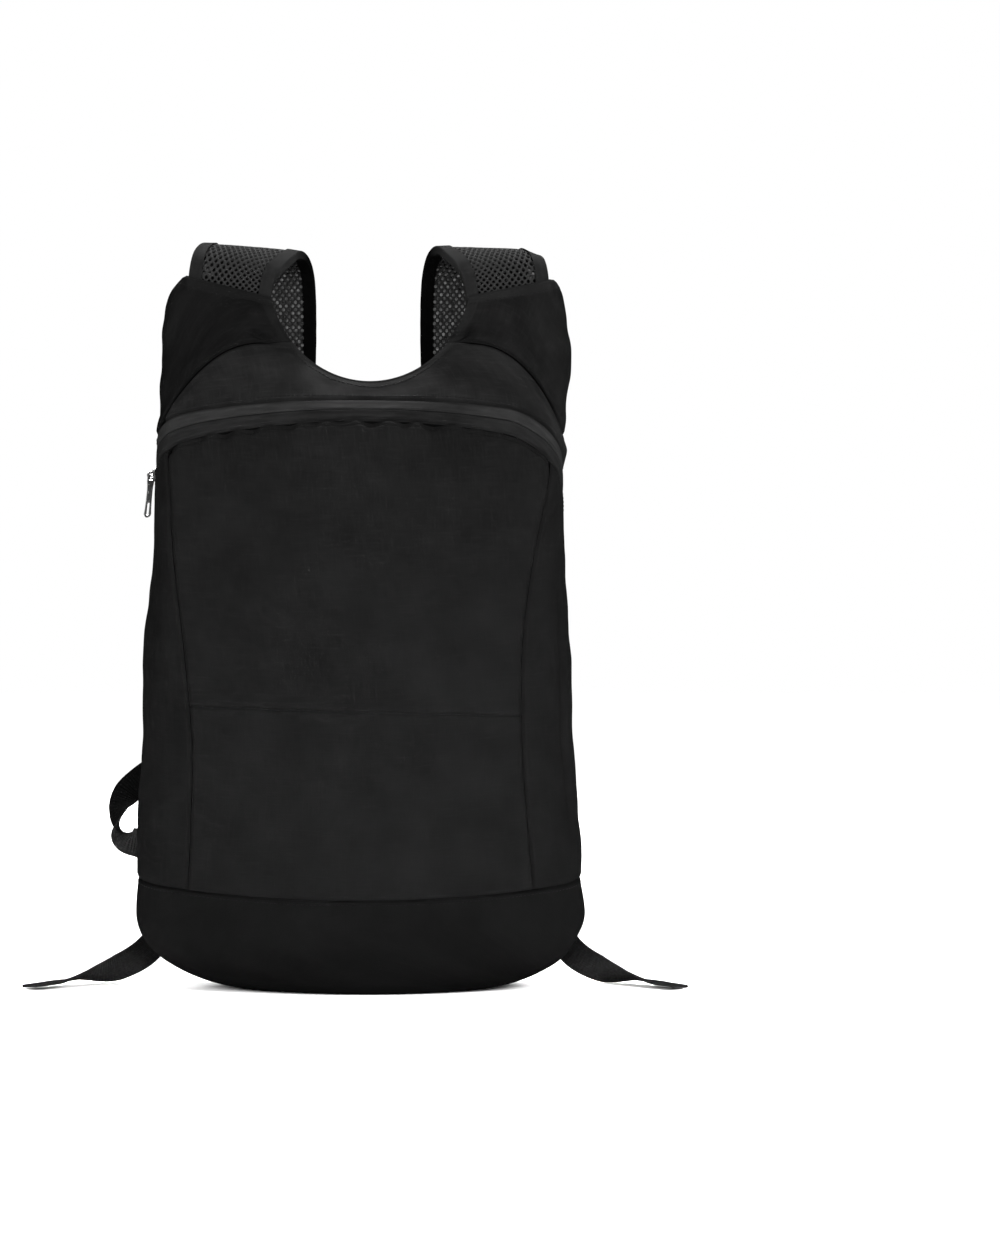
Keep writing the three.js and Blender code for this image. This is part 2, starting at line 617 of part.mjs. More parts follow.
for (const [name, side] of Object.entries(SIDES)) {
  // Spacer-mesh strap and its two bound edges
  const stations = STRAP_LINE.map((row) => ({
    at: new THREE.Vector3(STRAP.sway + side * row.out, row.y, row.z),
    across: new THREE.Vector3(1, 0, 0),
    steps: row.steps,
  }));
  const core = (place) => strapProfile(strapWidth(place) / 2);
  addMesh(`shoulder_strap_${name}`, strip(stations, core), "mesh");
  for (const [edge, sign] of [["inner", -side], ["outer", side]]) {
    const tape = (place) => bindingProfile(strapWidth(place) / 2, sign);
    addMesh(`strap_binding_${name}_${edge}`, strip(stations, tape), "binding");
  }

  // Adjuster below the end of the strap
  const curve = new THREE.CatmullRomCurve3(stations.map((station) => station.at));
  const end = frameOn(curve, stations, stations.length - 2, 1);
  const plate = new THREE.Shape();
  const [w, c] = [LOCK.wide / 2, LOCK.corner];
  plate.moveTo(-w, 0);
  plate.lineTo(w, 0);
  plate.lineTo(w, LOCK.tall - c);
  plate.absarc(w - c, LOCK.tall - c, c, 0, Math.PI / 2);
  plate.lineTo(c - w, LOCK.tall);
  plate.absarc(c - w, LOCK.tall - c, c, Math.PI / 2, Math.PI);
  const slotLow = LOCK.tall - LOCK.bar - LOCK.slotTall;
  const slot = new THREE.Path();
  slot.moveTo(-LOCK.slot / 2, slotLow);
  slot.lineTo(LOCK.slot / 2, slotLow);
  slot.lineTo(LOCK.slot / 2, LOCK.tall - LOCK.bar);
  slot.lineTo(-LOCK.slot / 2, LOCK.tall - LOCK.bar);
  plate.holes.push(slot);
  const lockShape = new THREE.ExtrudeGeometry(plate, {
    depth: LOCK.thick,
    bevelEnabled: false,
    curveSegments: 4,
  });
  lockShape.translate(0, SEAM_GAP, -LOCK.thick / 2);
  const lock = addMesh(`ladder_lock_${name}`, lockShape, "plastic");
  lock.applyMatrix4(new THREE.Matrix4().makeBasis(end.across, end.along, end.normal).setPosition(end.origin));

  // Webbing: from its anchor on the base up to the adjuster, round its bar, and down to the tail
  const barPlace = SEAM_GAP + LOCK.tall - LOCK.bar / 2;
  const bar = end.origin.clone().addScaledVector(end.along, barPlace);
  const turn = [-180, -135, -90, -45, 0].map((degrees) => {
    const angle = THREE.MathUtils.degToRad(degrees);
    const at = bar.clone().addScaledVector(end.normal, WEBBING.turn * Math.cos(angle));
    return { at: at.addScaledVector(end.along, WEBBING.turn * Math.sin(angle)), across: end.across };
  });
  const leg = (sign) => ({
    at: bar.clone().addScaledVector(end.normal, sign * WEBBING.turn).addScaledVector(end.along, WEBBING.leg),
    across: end.across,
  });
  const run = side < 0 ? LEFT_LOOP : RIGHT_RUN;
  const anchorRun = run.map((row) => ({
    at: new THREE.Vector3(row.x, row.y, row.z),
    across: new THREE.Vector3(...row.across),
  }));
  const outward = outwardAt(side * ANCHOR.girth, ANCHOR.z);
  const sewn = bodyPoint(side * ANCHOR.girth, ANCHOR.z);
  sewn.addScaledVector(outward, WEBBING.thick / 2 + SEAM_GAP);
  const inward = sewn.clone().sub(anchorRun[anchorRun.length - 1].at);
  anchorRun.push({ at: sewn, across: outward.cross(inward).setLength(1).multiplyScalar(-side) });
  const tail = TAIL.map((row) => ({
    at: new THREE.Vector3(side * tailOut(row.out, name), row.y, tailHeight(row, name)),
    across: new THREE.Vector3(row.across[0], -side * row.across[1], -side * row.across[2]),
  }));
  const route = [...anchorRun.reverse(), leg(-1), ...turn, leg(1), ...tail];
  for (const station of route) station.steps = WEBBING.steps;
  const band = () => rectangle(WEBBING.wide, WEBBING.thick);
  addMesh(`webbing_${name}`, strip(route, band), "webbing");
}

// Zip slider: a plate on the tapes with a bridge, and the pull that swings on the bridge
function manifoldOf(geometry) {
  const bare = geometry.clone();
  bare.deleteAttribute("normal");
  bare.deleteAttribute("uv");
  const merged = mergeVertices(bare, 1e-4);
  const vertProperties = merged.attributes.position.array;
  const triVerts = Uint32Array.from(merged.index.array);
  return new wasm.Manifold(new wasm.Mesh({ numProp: 3, vertProperties, triVerts }));
}

function geometryOf(manifold) {
  const mesh = manifold.getMesh();
  const geometry = new THREE.BufferGeometry();
  geometry.setAttribute("position", new THREE.Float32BufferAttribute(mesh.vertProperties, mesh.numProp));
  geometry.setIndex(Array.from(mesh.triVerts));
  geometry.computeVertexNormals();
  return geometry;
}

const zipPoint = (girth) => bodyPoint(girth, zipHeight("middle", girth));
const zipSeat = zipPoint(SLIDER.girth);
const zipAlong = zipPoint(SLIDER.girth - 0.01).sub(zipPoint(SLIDER.girth + 0.01)).normalize();
const zipOut = outwardAt(SLIDER.girth, zipSeat.z);
const zipAcross = zipOut.clone().cross(zipAlong);
const zipFrame = new THREE.Matrix4().makeBasis(zipAlong, zipAcross, zipOut).setPosition(zipSeat);

// Local axes of the slider: x along the zip, y across it, z out of the cloth
const sliderPlan = new THREE.Shape();
const sliderLong = SLIDER.long / 2;
sliderPlan.moveTo(-sliderLong, -SLIDER_HALF.nose);
sliderPlan.quadraticCurveTo(-sliderLong / 2, -SLIDER_HALF.bulge, 0, -SLIDER_HALF.middle);
sliderPlan.lineTo(sliderLong, -SLIDER_HALF.tail);
sliderPlan.lineTo(sliderLong, SLIDER_HALF.tail);
sliderPlan.lineTo(0, SLIDER_HALF.middle);
sliderPlan.quadraticCurveTo(-sliderLong / 2, SLIDER_HALF.bulge, -sliderLong, SLIDER_HALF.nose);
const plateShape = new THREE.ExtrudeGeometry(sliderPlan, {
  depth: SLIDER.thick,
  bevelEnabled: false,
  curveSegments: 5,
});
plateShape.translate(0, 0, SEAM_GAP);
const plateTop = SEAM_GAP + SLIDER.thick;
const pivotHeight = plateTop + SLIDER.pivot;
const bridgeFoot = plateTop - BRIDGE.sink;
const bridgeSide = new THREE.Shape();
bridgeSide.moveTo(BRIDGE.outer, bridgeFoot);
bridgeSide.lineTo(BRIDGE.outer, pivotHeight);
bridgeSide.absarc(0, pivotHeight, BRIDGE.outer, 0, Math.PI);
bridgeSide.lineTo(-BRIDGE.outer, bridgeFoot);
bridgeSide.lineTo(-BRIDGE.inner, bridgeFoot);
bridgeSide.lineTo(-BRIDGE.inner, pivotHeight);
bridgeSide.absarc(0, pivotHeight, BRIDGE.inner, Math.PI, 0, true);
bridgeSide.lineTo(BRIDGE.inner, bridgeFoot);
const bridgeShape = new THREE.ExtrudeGeometry(bridgeSide, {
  depth: BRIDGE.wide,
  bevelEnabled: false,
  curveSegments: 8,
});
bridgeShape.rotateX(Math.PI / 2);
bridgeShape.translate(0, BRIDGE.wide / 2, 0);
const slider = addMesh(
  "zip_slider",
  geometryOf(manifoldOf(plateShape).add(manifoldOf(bridgeShape))),
  "metal",
);
slider.applyMatrix4(zipFrame);

// Pull: a flat tab with an eye round the bridge and an oblong hole near its lower end
const eyeEnd = BRIDGE.outer + PULL_EYE.clear;
const pullPlan = new THREE.Shape();
const [tabHalf, waistHalf] = [PULL.wide / 2, PULL.waist / 2];
const lowerEnd = PULL.long - tabHalf;
const neckStart = eyeEnd + PULL_NECK.start;
const neckBend = eyeEnd + PULL_NECK.bend;
const neckEnd = eyeEnd + PULL_NECK.end;
const flare = lowerEnd - PULL_NECK.flare;
pullPlan.moveTo(-PULL_EYE.bar, -tabHalf);
pullPlan.lineTo(neckStart, -tabHalf);
pullPlan.quadraticCurveTo(neckBend, -waistHalf, neckEnd, -waistHalf);
pullPlan.quadraticCurveTo(flare, -waistHalf, lowerEnd, -tabHalf);
pullPlan.absarc(lowerEnd, 0, tabHalf, -Math.PI / 2, Math.PI / 2);
pullPlan.quadraticCurveTo(flare, waistHalf, neckEnd, waistHalf);
pullPlan.quadraticCurveTo(neckBend, waistHalf, neckStart, tabHalf);
pullPlan.lineTo(-PULL_EYE.bar, tabHalf);
const eye = new THREE.Path();
eye.moveTo(PULL_EYE.bar, -PULL_EYE.half);
eye.lineTo(eyeEnd, -PULL_EYE.half);
eye.lineTo(eyeEnd, PULL_EYE.half);
eye.lineTo(PULL_EYE.bar, PULL_EYE.half);
const hole = new THREE.Path();
hole.moveTo(lowerEnd - PULL.holeLong, -PULL.hole);
hole.lineTo(lowerEnd, -PULL.hole);
hole.absarc(lowerEnd, 0, PULL.hole, -Math.PI / 2, Math.PI / 2);
hole.lineTo(lowerEnd - PULL.holeLong, PULL.hole);
hole.absarc(lowerEnd - PULL.holeLong, 0, PULL.hole, Math.PI / 2, (3 * Math.PI) / 2);
pullPlan.holes.push(eye, hole);
const pullShape = new THREE.ExtrudeGeometry(pullPlan, {
  depth: PULL.thick,
  bevelEnabled: false,
  curveSegments: 5,
});
pullShape.translate(0, 0, -PULL.thick / 2);
pullShape.rotateX(THREE.MathUtils.degToRad(PULL.twist));
pullShape.rotateY(-THREE.MathUtils.degToRad(PULL.hang));
const pull = addMesh("zip_pull", pullShape, "metal");
pull.position.set(0, 0, pivotHeight);
pull.applyMatrix4(zipFrame);

export default bag;
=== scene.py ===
# Packable sports backpack in black nylon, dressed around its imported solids. Metres, +Z up.
# The front faces -Y, the wearer's back is on the +Y side, and left is -X as seen from the front.
import math

import bpy
import numpy as np
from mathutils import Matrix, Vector


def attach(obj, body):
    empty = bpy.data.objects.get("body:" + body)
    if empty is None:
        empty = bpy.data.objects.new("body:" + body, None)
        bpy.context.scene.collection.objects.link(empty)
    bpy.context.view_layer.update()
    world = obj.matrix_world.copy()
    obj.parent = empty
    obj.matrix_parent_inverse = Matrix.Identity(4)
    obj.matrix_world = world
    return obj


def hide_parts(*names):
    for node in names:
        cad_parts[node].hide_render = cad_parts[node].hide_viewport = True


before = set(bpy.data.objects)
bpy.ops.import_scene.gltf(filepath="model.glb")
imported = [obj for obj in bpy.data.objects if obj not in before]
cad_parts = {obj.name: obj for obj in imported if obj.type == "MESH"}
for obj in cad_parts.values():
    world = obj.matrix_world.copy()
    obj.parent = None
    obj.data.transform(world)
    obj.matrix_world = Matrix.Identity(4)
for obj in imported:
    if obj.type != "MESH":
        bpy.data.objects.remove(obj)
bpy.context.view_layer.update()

# Form of the bag
# Light nylon, filled out to a soft slab that thins and leans back towards the neck.
# Every panel is cut from this one form, so the panels meet along their seams.
BODY = np.array([  # height, half width, depth in front, depth behind, lean back, sway to the right
    (0.052, 0.1540, 0.0670, 0.0520, 0.0000, 0.0000),
    (0.080, 0.1530, 0.0680, 0.0520, 0.0000, -0.0007),
    (0.170, 0.1490, 0.0660, 0.0510, 0.0000, -0.0020),
    (0.240, 0.1460, 0.0600, 0.0490, 0.0040, -0.0018),
    (0.295, 0.1430, 0.0520, 0.0445, 0.0090, -0.0013),
    (0.346, 0.1420, 0.0420, 0.0370, 0.0160, -0.0006),
    (0.376, 0.1420, 0.0335, 0.0310, 0.0220, 0.0000),
    (0.400, 0.1436, 0.0260, 0.0250, 0.0255, 0.0007),
    (0.420, 0.1440, 0.0195, 0.0195, 0.0280, 0.0020),
    (0.440, 0.1436, 0.0140, 0.0150, 0.0300, 0.0030),
    (0.458, 0.1420, 0.0110, 0.0120, 0.0320, 0.0036),
    (0.475, 0.1390, 0.0095, 0.0105, 0.0335, 0.0046),
    (0.486, 0.1350, 0.0085, 0.0095, 0.0340, 0.0052),
    (0.496, 0.1280, 0.0080, 0.0090, 0.0345, 0.0056),
])
HALF, FRONT, BACK, LEAN, SWAY = range(1, 6)
CORNER_FRONT = 0.62  # corner radius as a share of the depth
CORNER_BACK = 0.78
BACK_SEAM = 1.12  # girth of the back seams: 0 front middle, 1 side line, 2 back middle, left negative
NECK_X, NECK_Z = 0.007, 0.500  # middle of the neck's cut-out, half an ellipse
NECK_HALF, NECK_DROP = 0.072, 0.080
NECK_PINCH = 0.028  # distance from the neck within which the front and the back close up
NECK_EDGE = 0.0014  # half depth along the neck
HEM_INNER, HEM_Z = 0.0707, 0.480  # inner end of the ears' hems
HEM_LEFT, HEM_RIGHT = 0.25, 0.20  # slopes of the hems on the two ears
HEM_SHAPED = (-0.014, -0.001)  # heights to the hem between which the ears take its shape
EARS_OPEN = (0.446, 0.476)  # heights between which the ears open round the straps
EAR_MOUTH = 0.0052  # half depth of the ears' mouth, round the strap
EAR_CORNER = 0.0014  # half depth of the sewn corner beside it
EAR_SEWN = (0.1268, 0.1300)  # distances out, where the mouth ends and the corner starts
STRAP_SWAY = 0.006  # of both straps, to the right


def ease(low, high, at):
    """A smooth step from 0 at low to 1 at high."""
    t = np.clip((at - low) / (high - low), 0, 1)
    return t * t * (3 - 2 * t)


def bell(offset, width):
    """A soft bump, 1 at the middle and gone at about twice the width."""
    return np.exp(-((offset / width) ** 2))


def through(table, column, at):
    """A smooth curve through one column of a table, held at its end values."""
    x, f = table[:, 0], table[:, column]
    before = np.maximum(np.arange(len(x)) - 1, 0)
    after = np.minimum(np.arange(len(x)) + 1, len(x) - 1)
    slope = (f[after] - f[before]) / (x[after] - x[before])
    k = np.clip(np.searchsorted(x, at, side="right") - 1, 0, len(x) - 2)
    span = x[k + 1] - x[k]
    t = np.clip((at - x[k]) / span, 0, 1)
    rise = t * t * (3 - 2 * t)
    bend = t * (1 - t) * ((1 - t) * slope[k] - t * slope[k + 1]) * span
    return f[k] * (1 - rise) + f[k + 1] * rise + bend


def quarter(half, depth, corner_share):
    """A quarter of a section: a shallow arc for the face that runs into a tighter corner arc."""
    corner = depth * corner_share
    wide = half - corner
    deep = depth - corner
    step = (wide**2 + deep**2) / (2 * deep)
    turn = np.arcsin(wide / step)
    radius = corner + step
    return corner, wide, radius, turn, radius * turn + corner * (np.pi / 2 - turn)


def section_point(half, front, back, sway, girth):
    """Sideways place, and depth behind the side line, of a point on a section."""
    ahead = np.abs(girth) <= 1
    share = np.where(ahead, np.abs(girth), 2 - np.abs(girth))
    depth = np.where(ahead, front, back)
    corner, wide, radius, turn, length = quarter(half, depth, np.where(ahead, CORNER_FRONT, CORNER_BACK))
    run = share * length
    face = radius * turn
    on_face = run < face
    angle = np.where(on_face, run / radius, turn + (run - face) / corner)
    across = np.where(on_face, radius * np.sin(angle), wide + corner * np.sin(angle))
    deep = np.where(on_face, depth - radius * (1 - np.cos(angle)), corner * np.cos(angle))
    return sway + np.where(girth < 0, -across, across), np.where(ahead, -deep, deep)


def girth_at(x, z):
    """Girth of the point on the front face at the sideways place x."""
    half, front, sway = (through(BODY, column, z) for column in (HALF, FRONT, SWAY))
    corner, wide, radius, turn, length = quarter(half, front, CORNER_FRONT)
    out = np.abs(x - sway)
    near = np.arcsin(np.clip(out / radius, 0, 1)) * radius
    bend = np.arcsin(np.clip((out - wide) / corner, -1, 1))
    run = np.where(out < radius * np.sin(turn), near, radius * turn + corner * (bend - turn))
    return np.where(x < sway, -run, run) / length


def body_sides(girth, z):
    """Sideways place and depth on the form at a height."""
    half, front, back, sway = (through(BODY, column, z) for column in (HALF, FRONT, BACK, SWAY))
    return section_point(half, front, back, sway, girth)


def reach(girth, z):
    """Distance out from the middle, which goes on growing behind the side line."""
    x, _ = body_sides(girth, z)
    behind = through(BODY, HALF, z) + (np.abs(girth) - 1) * through(BODY, BACK, z)
    return np.where(np.abs(girth) <= 1, np.abs(x - through(BODY, SWAY, z)), behind)


def hem_height(girth, z):
    out = np.minimum(reach(girth, z), through(BODY, HALF, z))
    return HEM_Z + np.where(girth < 0, HEM_LEFT, HEM_RIGHT) * (out - HEM_INNER)


def neck_distance(x, z):
    """Distance below or beside the neck's cut-out."""
    return (np.hypot((x - NECK_X) / NECK_HALF, (NECK_Z - z) / NECK_DROP) - 1) * NECK_HALF


def body_point(girth, z):
    """A point on the form. At the neck the front and back close up, and they open round the straps."""
    girth, z = np.broadcast_arrays(girth, z)
    x, depth = body_sides(girth, z)
    thick = np.abs(depth)
    near = 1 - np.clip(neck_distance(x, z) / NECK_PINCH, 0, 1)
    closed = np.maximum(thick * (1 - near**2), np.minimum(NECK_EDGE, thick))
    thick = closed + (thick - closed) * ease(*EARS_OPEN, z)
    sewn = EAR_MOUTH + (EAR_CORNER - EAR_MOUTH) * ease(*EAR_SEWN, np.abs(x - STRAP_SWAY))
    thick = thick + (np.minimum(thick, sewn) - thick) * ease(*HEM_SHAPED, z - hem_height(girth, z))
    return np.stack([x, through(BODY, LEAN, z) + np.sign(depth) * thick, z], -1)


# Cloth
# A panel is a grid of points on the form. Folds, puckers and seam grooves raise and lower its outer side.
# Its inner side lies one thickness below, and further in where an edge is turned in along a seam.
CLOTH = 0.0012
HALF_GAP = 0.00015  # half the gap between two panels at their seam
SEAM_TURN, SEAM_TURN_WIDE = 0.003, 0.0012  # depth and spread of the cloth turned in along a seam
SEAM_ROOM = (0.006, 0.024), (0.472, 0.436)  # distances from the neck and heights with room for turned seams
FIRST_GUESS, GUESSES = 0.3, 14  # heights between edges that depend on height are found by guessing again


def cut_panel(girth, low, high, columns, rows):
    """A panel's outer face on the form, a grid of shares of the way round and of the way up.

    girth is a function of a share and a height. low and high give an edge's height from girth and height.
    """
    share, up = np.meshgrid(columns, rows, indexing="ij")
    z = np.full(share.shape, FIRST_GUESS)
    for _ in range(GUESSES):
        at = girth(share, z)
        z = low(at, z) + (high(at, z) - low(at, z)) * up
    return body_point(girth(share, z), z)


def crowded(count, pull=0.8):
    """Shares from 0 to 1 that lie closer together near both ends, where the seams need them."""
    even = np.linspace(0, 1, count + 1)
    return even * (1 - pull) + (0.5 - 0.5 * np.cos(np.pi * even)) * pull


def ripple(u, v, size, seed):
    """Soft random waves of about the given size, from -1 to 1."""
    knots = 64
    turn = np.random.default_rng(seed).uniform(0, 2 * np.pi, (knots, knots))
    x, y = u / size, v / size
    i, j = np.floor(x).astype(int), np.floor(y).astype(int)
    fx, fy = x - i, y - j

    def corner(di, dj):
        angle = turn[(i + di) % knots, (j + dj) % knots]
        return np.cos(angle) * (fx - di) + np.sin(angle) * (fy - dj)

    ex, ey = (f**3 * (f * (f * 6 - 15) + 10) for f in (fx, fy))
    low = corner(0, 0) * (1 - ex) + corner(1, 0) * ex
    high = corner(0, 1) * (1 - ex) + corner(1, 1) * ex
    return 1.5 * (low * (1 - ey) + high * ey)


def waves(u, v, seed, *rows):
    """The sum of ripples from rows of size, squeeze across, squeeze upwards and depth."""
    return sum(
        ripple(u * across, v * up, size, seed + i) * depth for i, (size, across, up, depth) in enumerate(rows)
    )


def puckers_at(run, u, v, seed, row):
    """One such ripple that dies away with the distance from a seam. The row ends with how far it goes."""
    *wave, fade = row
    return waves(u, v, seed, wave) * np.exp(-run / fade)


def groove(run, depth, width=0.0014):
    """The dip of the cloth into a seam at the given distance from it."""
    return -depth * bell(run, width)


def outward(points, closed=False):
    """Unit normals of a grid of points: the columns' direction turned towards the rows' direction."""
    along = np.roll(points, -1, 0) - np.roll(points, 1, 0) if closed else np.gradient(points, axis=0)
    normal = np.cross(along, np.gradient(points, axis=1))
    length = np.linalg.norm(normal, axis=-1, keepdims=True)
    return np.where(length > 1e-14, normal / np.maximum(length, 1e-14), (0, 0, -1))


def run_along(points):
    """Distances of the points of a line from its start, or of each line's points in a grid's columns."""
    steps = np.linalg.norm(np.diff(points, axis=0), axis=-1)
    return np.concatenate([np.zeros_like(steps[:1]), steps.cumsum(0)])


def along_line(line, run, at):
    """Points of a line at the given distances from its start."""
    return np.stack([np.interp(at, run, line[:, k]) for k in range(3)], -1)


def edge_runs(points):
    """Distances along the cloth of each grid point from the four edges: first, last, bottom, top."""
    across = run_along(points)
    up = run_along(points.swapaxes(0, 1)).T
    return across, across[-1:] - across, up, up[:, -1:] - up


def new_object(name, data):
    made = bpy.data.objects.new(name, data)
    bpy.context.scene.collection.objects.link(made)
    return made


def add_piece(name, points, faces, finish, cut=None, body="bag", crisp=50):
    """A shaded mesh piece that rides on a body. cut is each point's place on the flat cloth."""
    mesh = bpy.data.meshes.new(name)
    mesh.from_pydata(np.asarray(points, float).tolist(), [], faces)
    if cut is not None:
        layer = mesh.attributes.new("cut", "FLOAT_VECTOR", "POINT")
        layer.data.foreach_set("vector", np.asarray(cut, np.float32).ravel())
    mesh.shade_smooth()
    mesh.set_sharp_from_angle(angle=math.radians(crisp))
    mesh.materials.append(finish)
    piece = new_object(name, mesh)
    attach(piece, body)
    return piece


def cloth_faces(columns, rows, closed=False):
    """Faces of a sheet's outer side, its inner side and the rim between them."""
    index = np.arange(columns * rows).reshape(columns, rows)
    rims = [] if closed else [index[::-1, 0], index[0], index[-1, ::-1]]
    if closed:
        index = np.concatenate([index, index[:1]])
    rims.append(index[:, -1])
    corners = [index[:-1, :-1], index[1:, :-1], index[1:, 1:], index[:-1, 1:]]
    outside = np.stack(corners, -1).reshape(-1, 4)
    to_inner = columns * rows
    parts = [outside, outside[:, [0, 3, 2, 1]] + to_inner]
    parts += [np.stack([rim[:-1], rim[1:], rim[1:] + to_inner, rim[:-1] + to_inner], -1) for rim in rims]
    return np.concatenate(parts).tolist()


def add_cloth(name, grid, relief, finish, sewn, closed=False, doubled_and_lit=0.0):
    """A panel of cloth from its grid on the form and the relief on it, with its outer face's points.

    sewn tells how far the first, last, bottom and top edges turn in along a seam, from 0 to 1.
    doubled_and_lit tells where a hem doubles the cloth and carries a painted highlight, from 0 to 1.
    """
    normal = outward(grid, closed)
    runs = edge_runs(grid)
    turned = np.clip(sum(share * bell(run, SEAM_TURN_WIDE) for share, run in zip(sewn, runs)), 0, 1)
    x, z = grid[..., 0], grid[..., 2]
    room = ease(*SEAM_ROOM[0], neck_distance(x, z)) * ease(*SEAM_ROOM[1], z)
    outer = grid + normal * relief[..., None]
    outer[..., 2] = np.maximum(outer[..., 2], 0)
    inner = outer - normal * (CLOTH + SEAM_TURN * turned * room)[..., None]
    cut = np.stack(np.broadcast_arrays(runs[0], runs[2], doubled_and_lit), -1).reshape(-1, 3)
    points = np.concatenate([outer.reshape(-1, 3), inner.reshape(-1, 3)])
    faces = cloth_faces(*outer.shape[:2], closed)
    piece = add_piece(name + "_cloth", points, faces, finish, np.concatenate([cut, cut]))
    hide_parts(name)
    return piece, outer


stitch_rows = []


def stitch(outer, run, distance):
    """Notes a row of stitches across a panel's columns, at a distance from its bottom or top edge."""
    if run[0, 0] > run[0, -1]:
        outer, run = outer[:, ::-1], run[:, ::-1]
    stitch_rows.append(np.array([along_line(*column, distance) for column in zip(outer, run)]))


# Nylon
# Plain-woven, two threads to the millimetre, with faint slubs along both thread ways and a soft
# cloudiness where the dye varies. Where a hem doubles it, it is paler, partly as a painted highlight of the
# light from above on the turned edge.
NYLON_THREAD = 0.0005


class Wire:
    """A socket in a material's nodes. Operators on it add Math nodes."""

    def __init__(self, tree, socket=None):
        self.tree = tree
        self.socket = socket

    def node(self, kind, settings=None, sockets=None, out=0):
        made = self.tree.nodes.new(kind)
        for name, value in (settings or {}).items():
            setattr(made, name, value)
        for key, value in (sockets or {}).items():
            if isinstance(value, Wire):
                self.tree.links.new(value.socket, made.inputs[key])
            else:
                made.inputs[key].default_value = value
        return Wire(self.tree, made.outputs[out])

    def math(self, operation, first, second=0.0):
        return self.node("ShaderNodeMath", {"operation": operation}, {0: first, 1: second})

    def __add__(self, other):
        return self.math("ADD", self, other)

    def __radd__(self, other):
        return self.math("ADD", other, self)

    def __sub__(self, other):
        return self.math("SUBTRACT", self, other)

    def __rsub__(self, other):
        return self.math("SUBTRACT", other, self)

    def __mul__(self, other):
        return self.math("MULTIPLY", self, other)

    def __rmul__(self, other):
        return self.math("MULTIPLY", other, self)

    def ramp(self, low, high):
        """0 up to low, 1 from high on."""
        sockets = {"Value": self, "From Min": low, "From Max": high}
        return self.node("ShaderNodeMapRange", {}, sockets)

    def stretched(self, x, y, z=1.0):
        """A vector stretched along its axes."""
        return self.node("ShaderNodeVectorMath", {"operation": "MULTIPLY"}, {0: self, 1: (x, y, z)})

    def noise(self, detail=2.0):
        """Random cloud values around 0.5, one cloud to each unit of this vector."""
        sockets = {"Vector": self, "Scale": 1.0, "Detail": detail}
        return self.node("ShaderNodeTexNoise", {}, sockets)

    def blend(self, first, second):
        """One colour to another as this value goes from 0 to 1."""
        sockets = {0: self, 6: first, 7: second}
        return self.node("ShaderNodeMix", {"data_type": "RGBA"}, sockets, out=2)

    def axis(self, name):
        """One of this vector's three values."""
        return self.node("ShaderNodeSeparateXYZ", {}, {0: self}, out=name)

    def threads(self, name, pitch):
        """Even waves from -1 to 1 along one axis of this vector."""
        return self.math("SINE", self.axis(name) * (2 * math.pi / pitch))

    def bump(self, strength, distance=1.0):
        """A normal, with this value as the height."""
        return self.node("ShaderNodeBump", {}, {"Strength": strength, "Distance": distance, "Height": self})


def grey(level):
    """A dye as a linear grey."""
    return (level, level, level, 1.0)


def new_finish(name, **constants):
    """A material, its shader, and a wire to start its nodes from."""
    material = bpy.data.materials.new(name)
    material.use_nodes = True
    shader = material.node_tree.nodes["Principled BSDF"]
    for socket, value in constants.items():
        shader.inputs[socket.replace("_", " ")].default_value = value
    return material, shader, Wire(material.node_tree)


def feed(shader, **wires):
    """Links wires to the shader's sockets."""
    for socket, wire in wires.items():
        wire.tree.links.new(wire.socket, shader.inputs[socket.replace("_", " ")])


def cloth_finish(name, **constants):
    """A material for cloth, its shader, and a wire from the place on the flat cloth.

    That place is across and up, with a third value that the piece keeps there.
    """
    material, shader, tree = new_finish(name, Specular_IOR_Level=0.0, **constants)
    return material, shader, tree.node("ShaderNodeAttribute", {"attribute_name": "cut"}, out="Vector")


def nylon_finish(name, dark, light, clouding=1.8):
    material, shader, cut = cloth_finish(name)
    weave = cut.threads("X", NYLON_THREAD) * cut.threads("Y", NYLON_THREAD)
    warp, weft = cut.stretched(900, 60).noise(), cut.stretched(60, 900).noise()
    slubs = warp * 0.5 + weft * 0.5
    thick = warp.ramp(0.62, 0.74) * 0.3 + weft.ramp(0.60, 0.72) * 0.4
    clouds = cut.stretched(34, 34).noise(3.0) * 0.6 + cut.stretched(11, 11).noise() * 0.4
    tone = (slubs - 0.5) * 1.6 + (clouds - 0.5) * clouding + thick + 0.40
    # Paler where a hem doubles the cloth, partly a painted highlight of the light from above on the turned
    # edge.
    colour = (cut.axis("Z") * 0.3).blend(tone.blend(grey(dark), grey(light)), grey(1.5 * light))
    relief = weave * 0.00002 + slubs * 0.00014
    feed(shader, Base_Color=colour, Roughness=0.6 + (slubs - 0.5) * 0.3, Normal=relief.bump(0.5))
    return material


nylon = nylon_finish("black_nylon", 0.0028, 0.0053)

# Base panel
# The bowl of nylon that the bag stands on, one piece turned up all round.
# It is sewn to the front, side and back panels in one seam that dips at the front.
BASE_ROUND = BODY[0, 0]  # height of the rounding between the flat and the walls
FLAT_HALF, FLAT_FRONT, FLAT_BACK, FLAT_SWAY = 0.072, 0.040, 0.050, 0.005
BASE_SEAM, BASE_SEAM_RISE = 0.0657, 0.012  # height at the front, and rise to the side line
BASE_STITCH = 0.0032  # distance of the stitches from it
BASE_FOLDS = (0.055, 1, 1, 0.0017), (0.024, 1, 1, 0.0008)  # size, squeeze both ways and depth
BASE_PUCKERS = (0.009, 1, 0.3, 0.0009, 0.012)  # the same, and how far they go
BASE_LOOSE = (0.004, 0.030)  # heights between which the folds begin


def base_seam(girth):
    return BASE_SEAM + BASE_SEAM_RISE * np.minimum(np.abs(girth), 1) ** 2


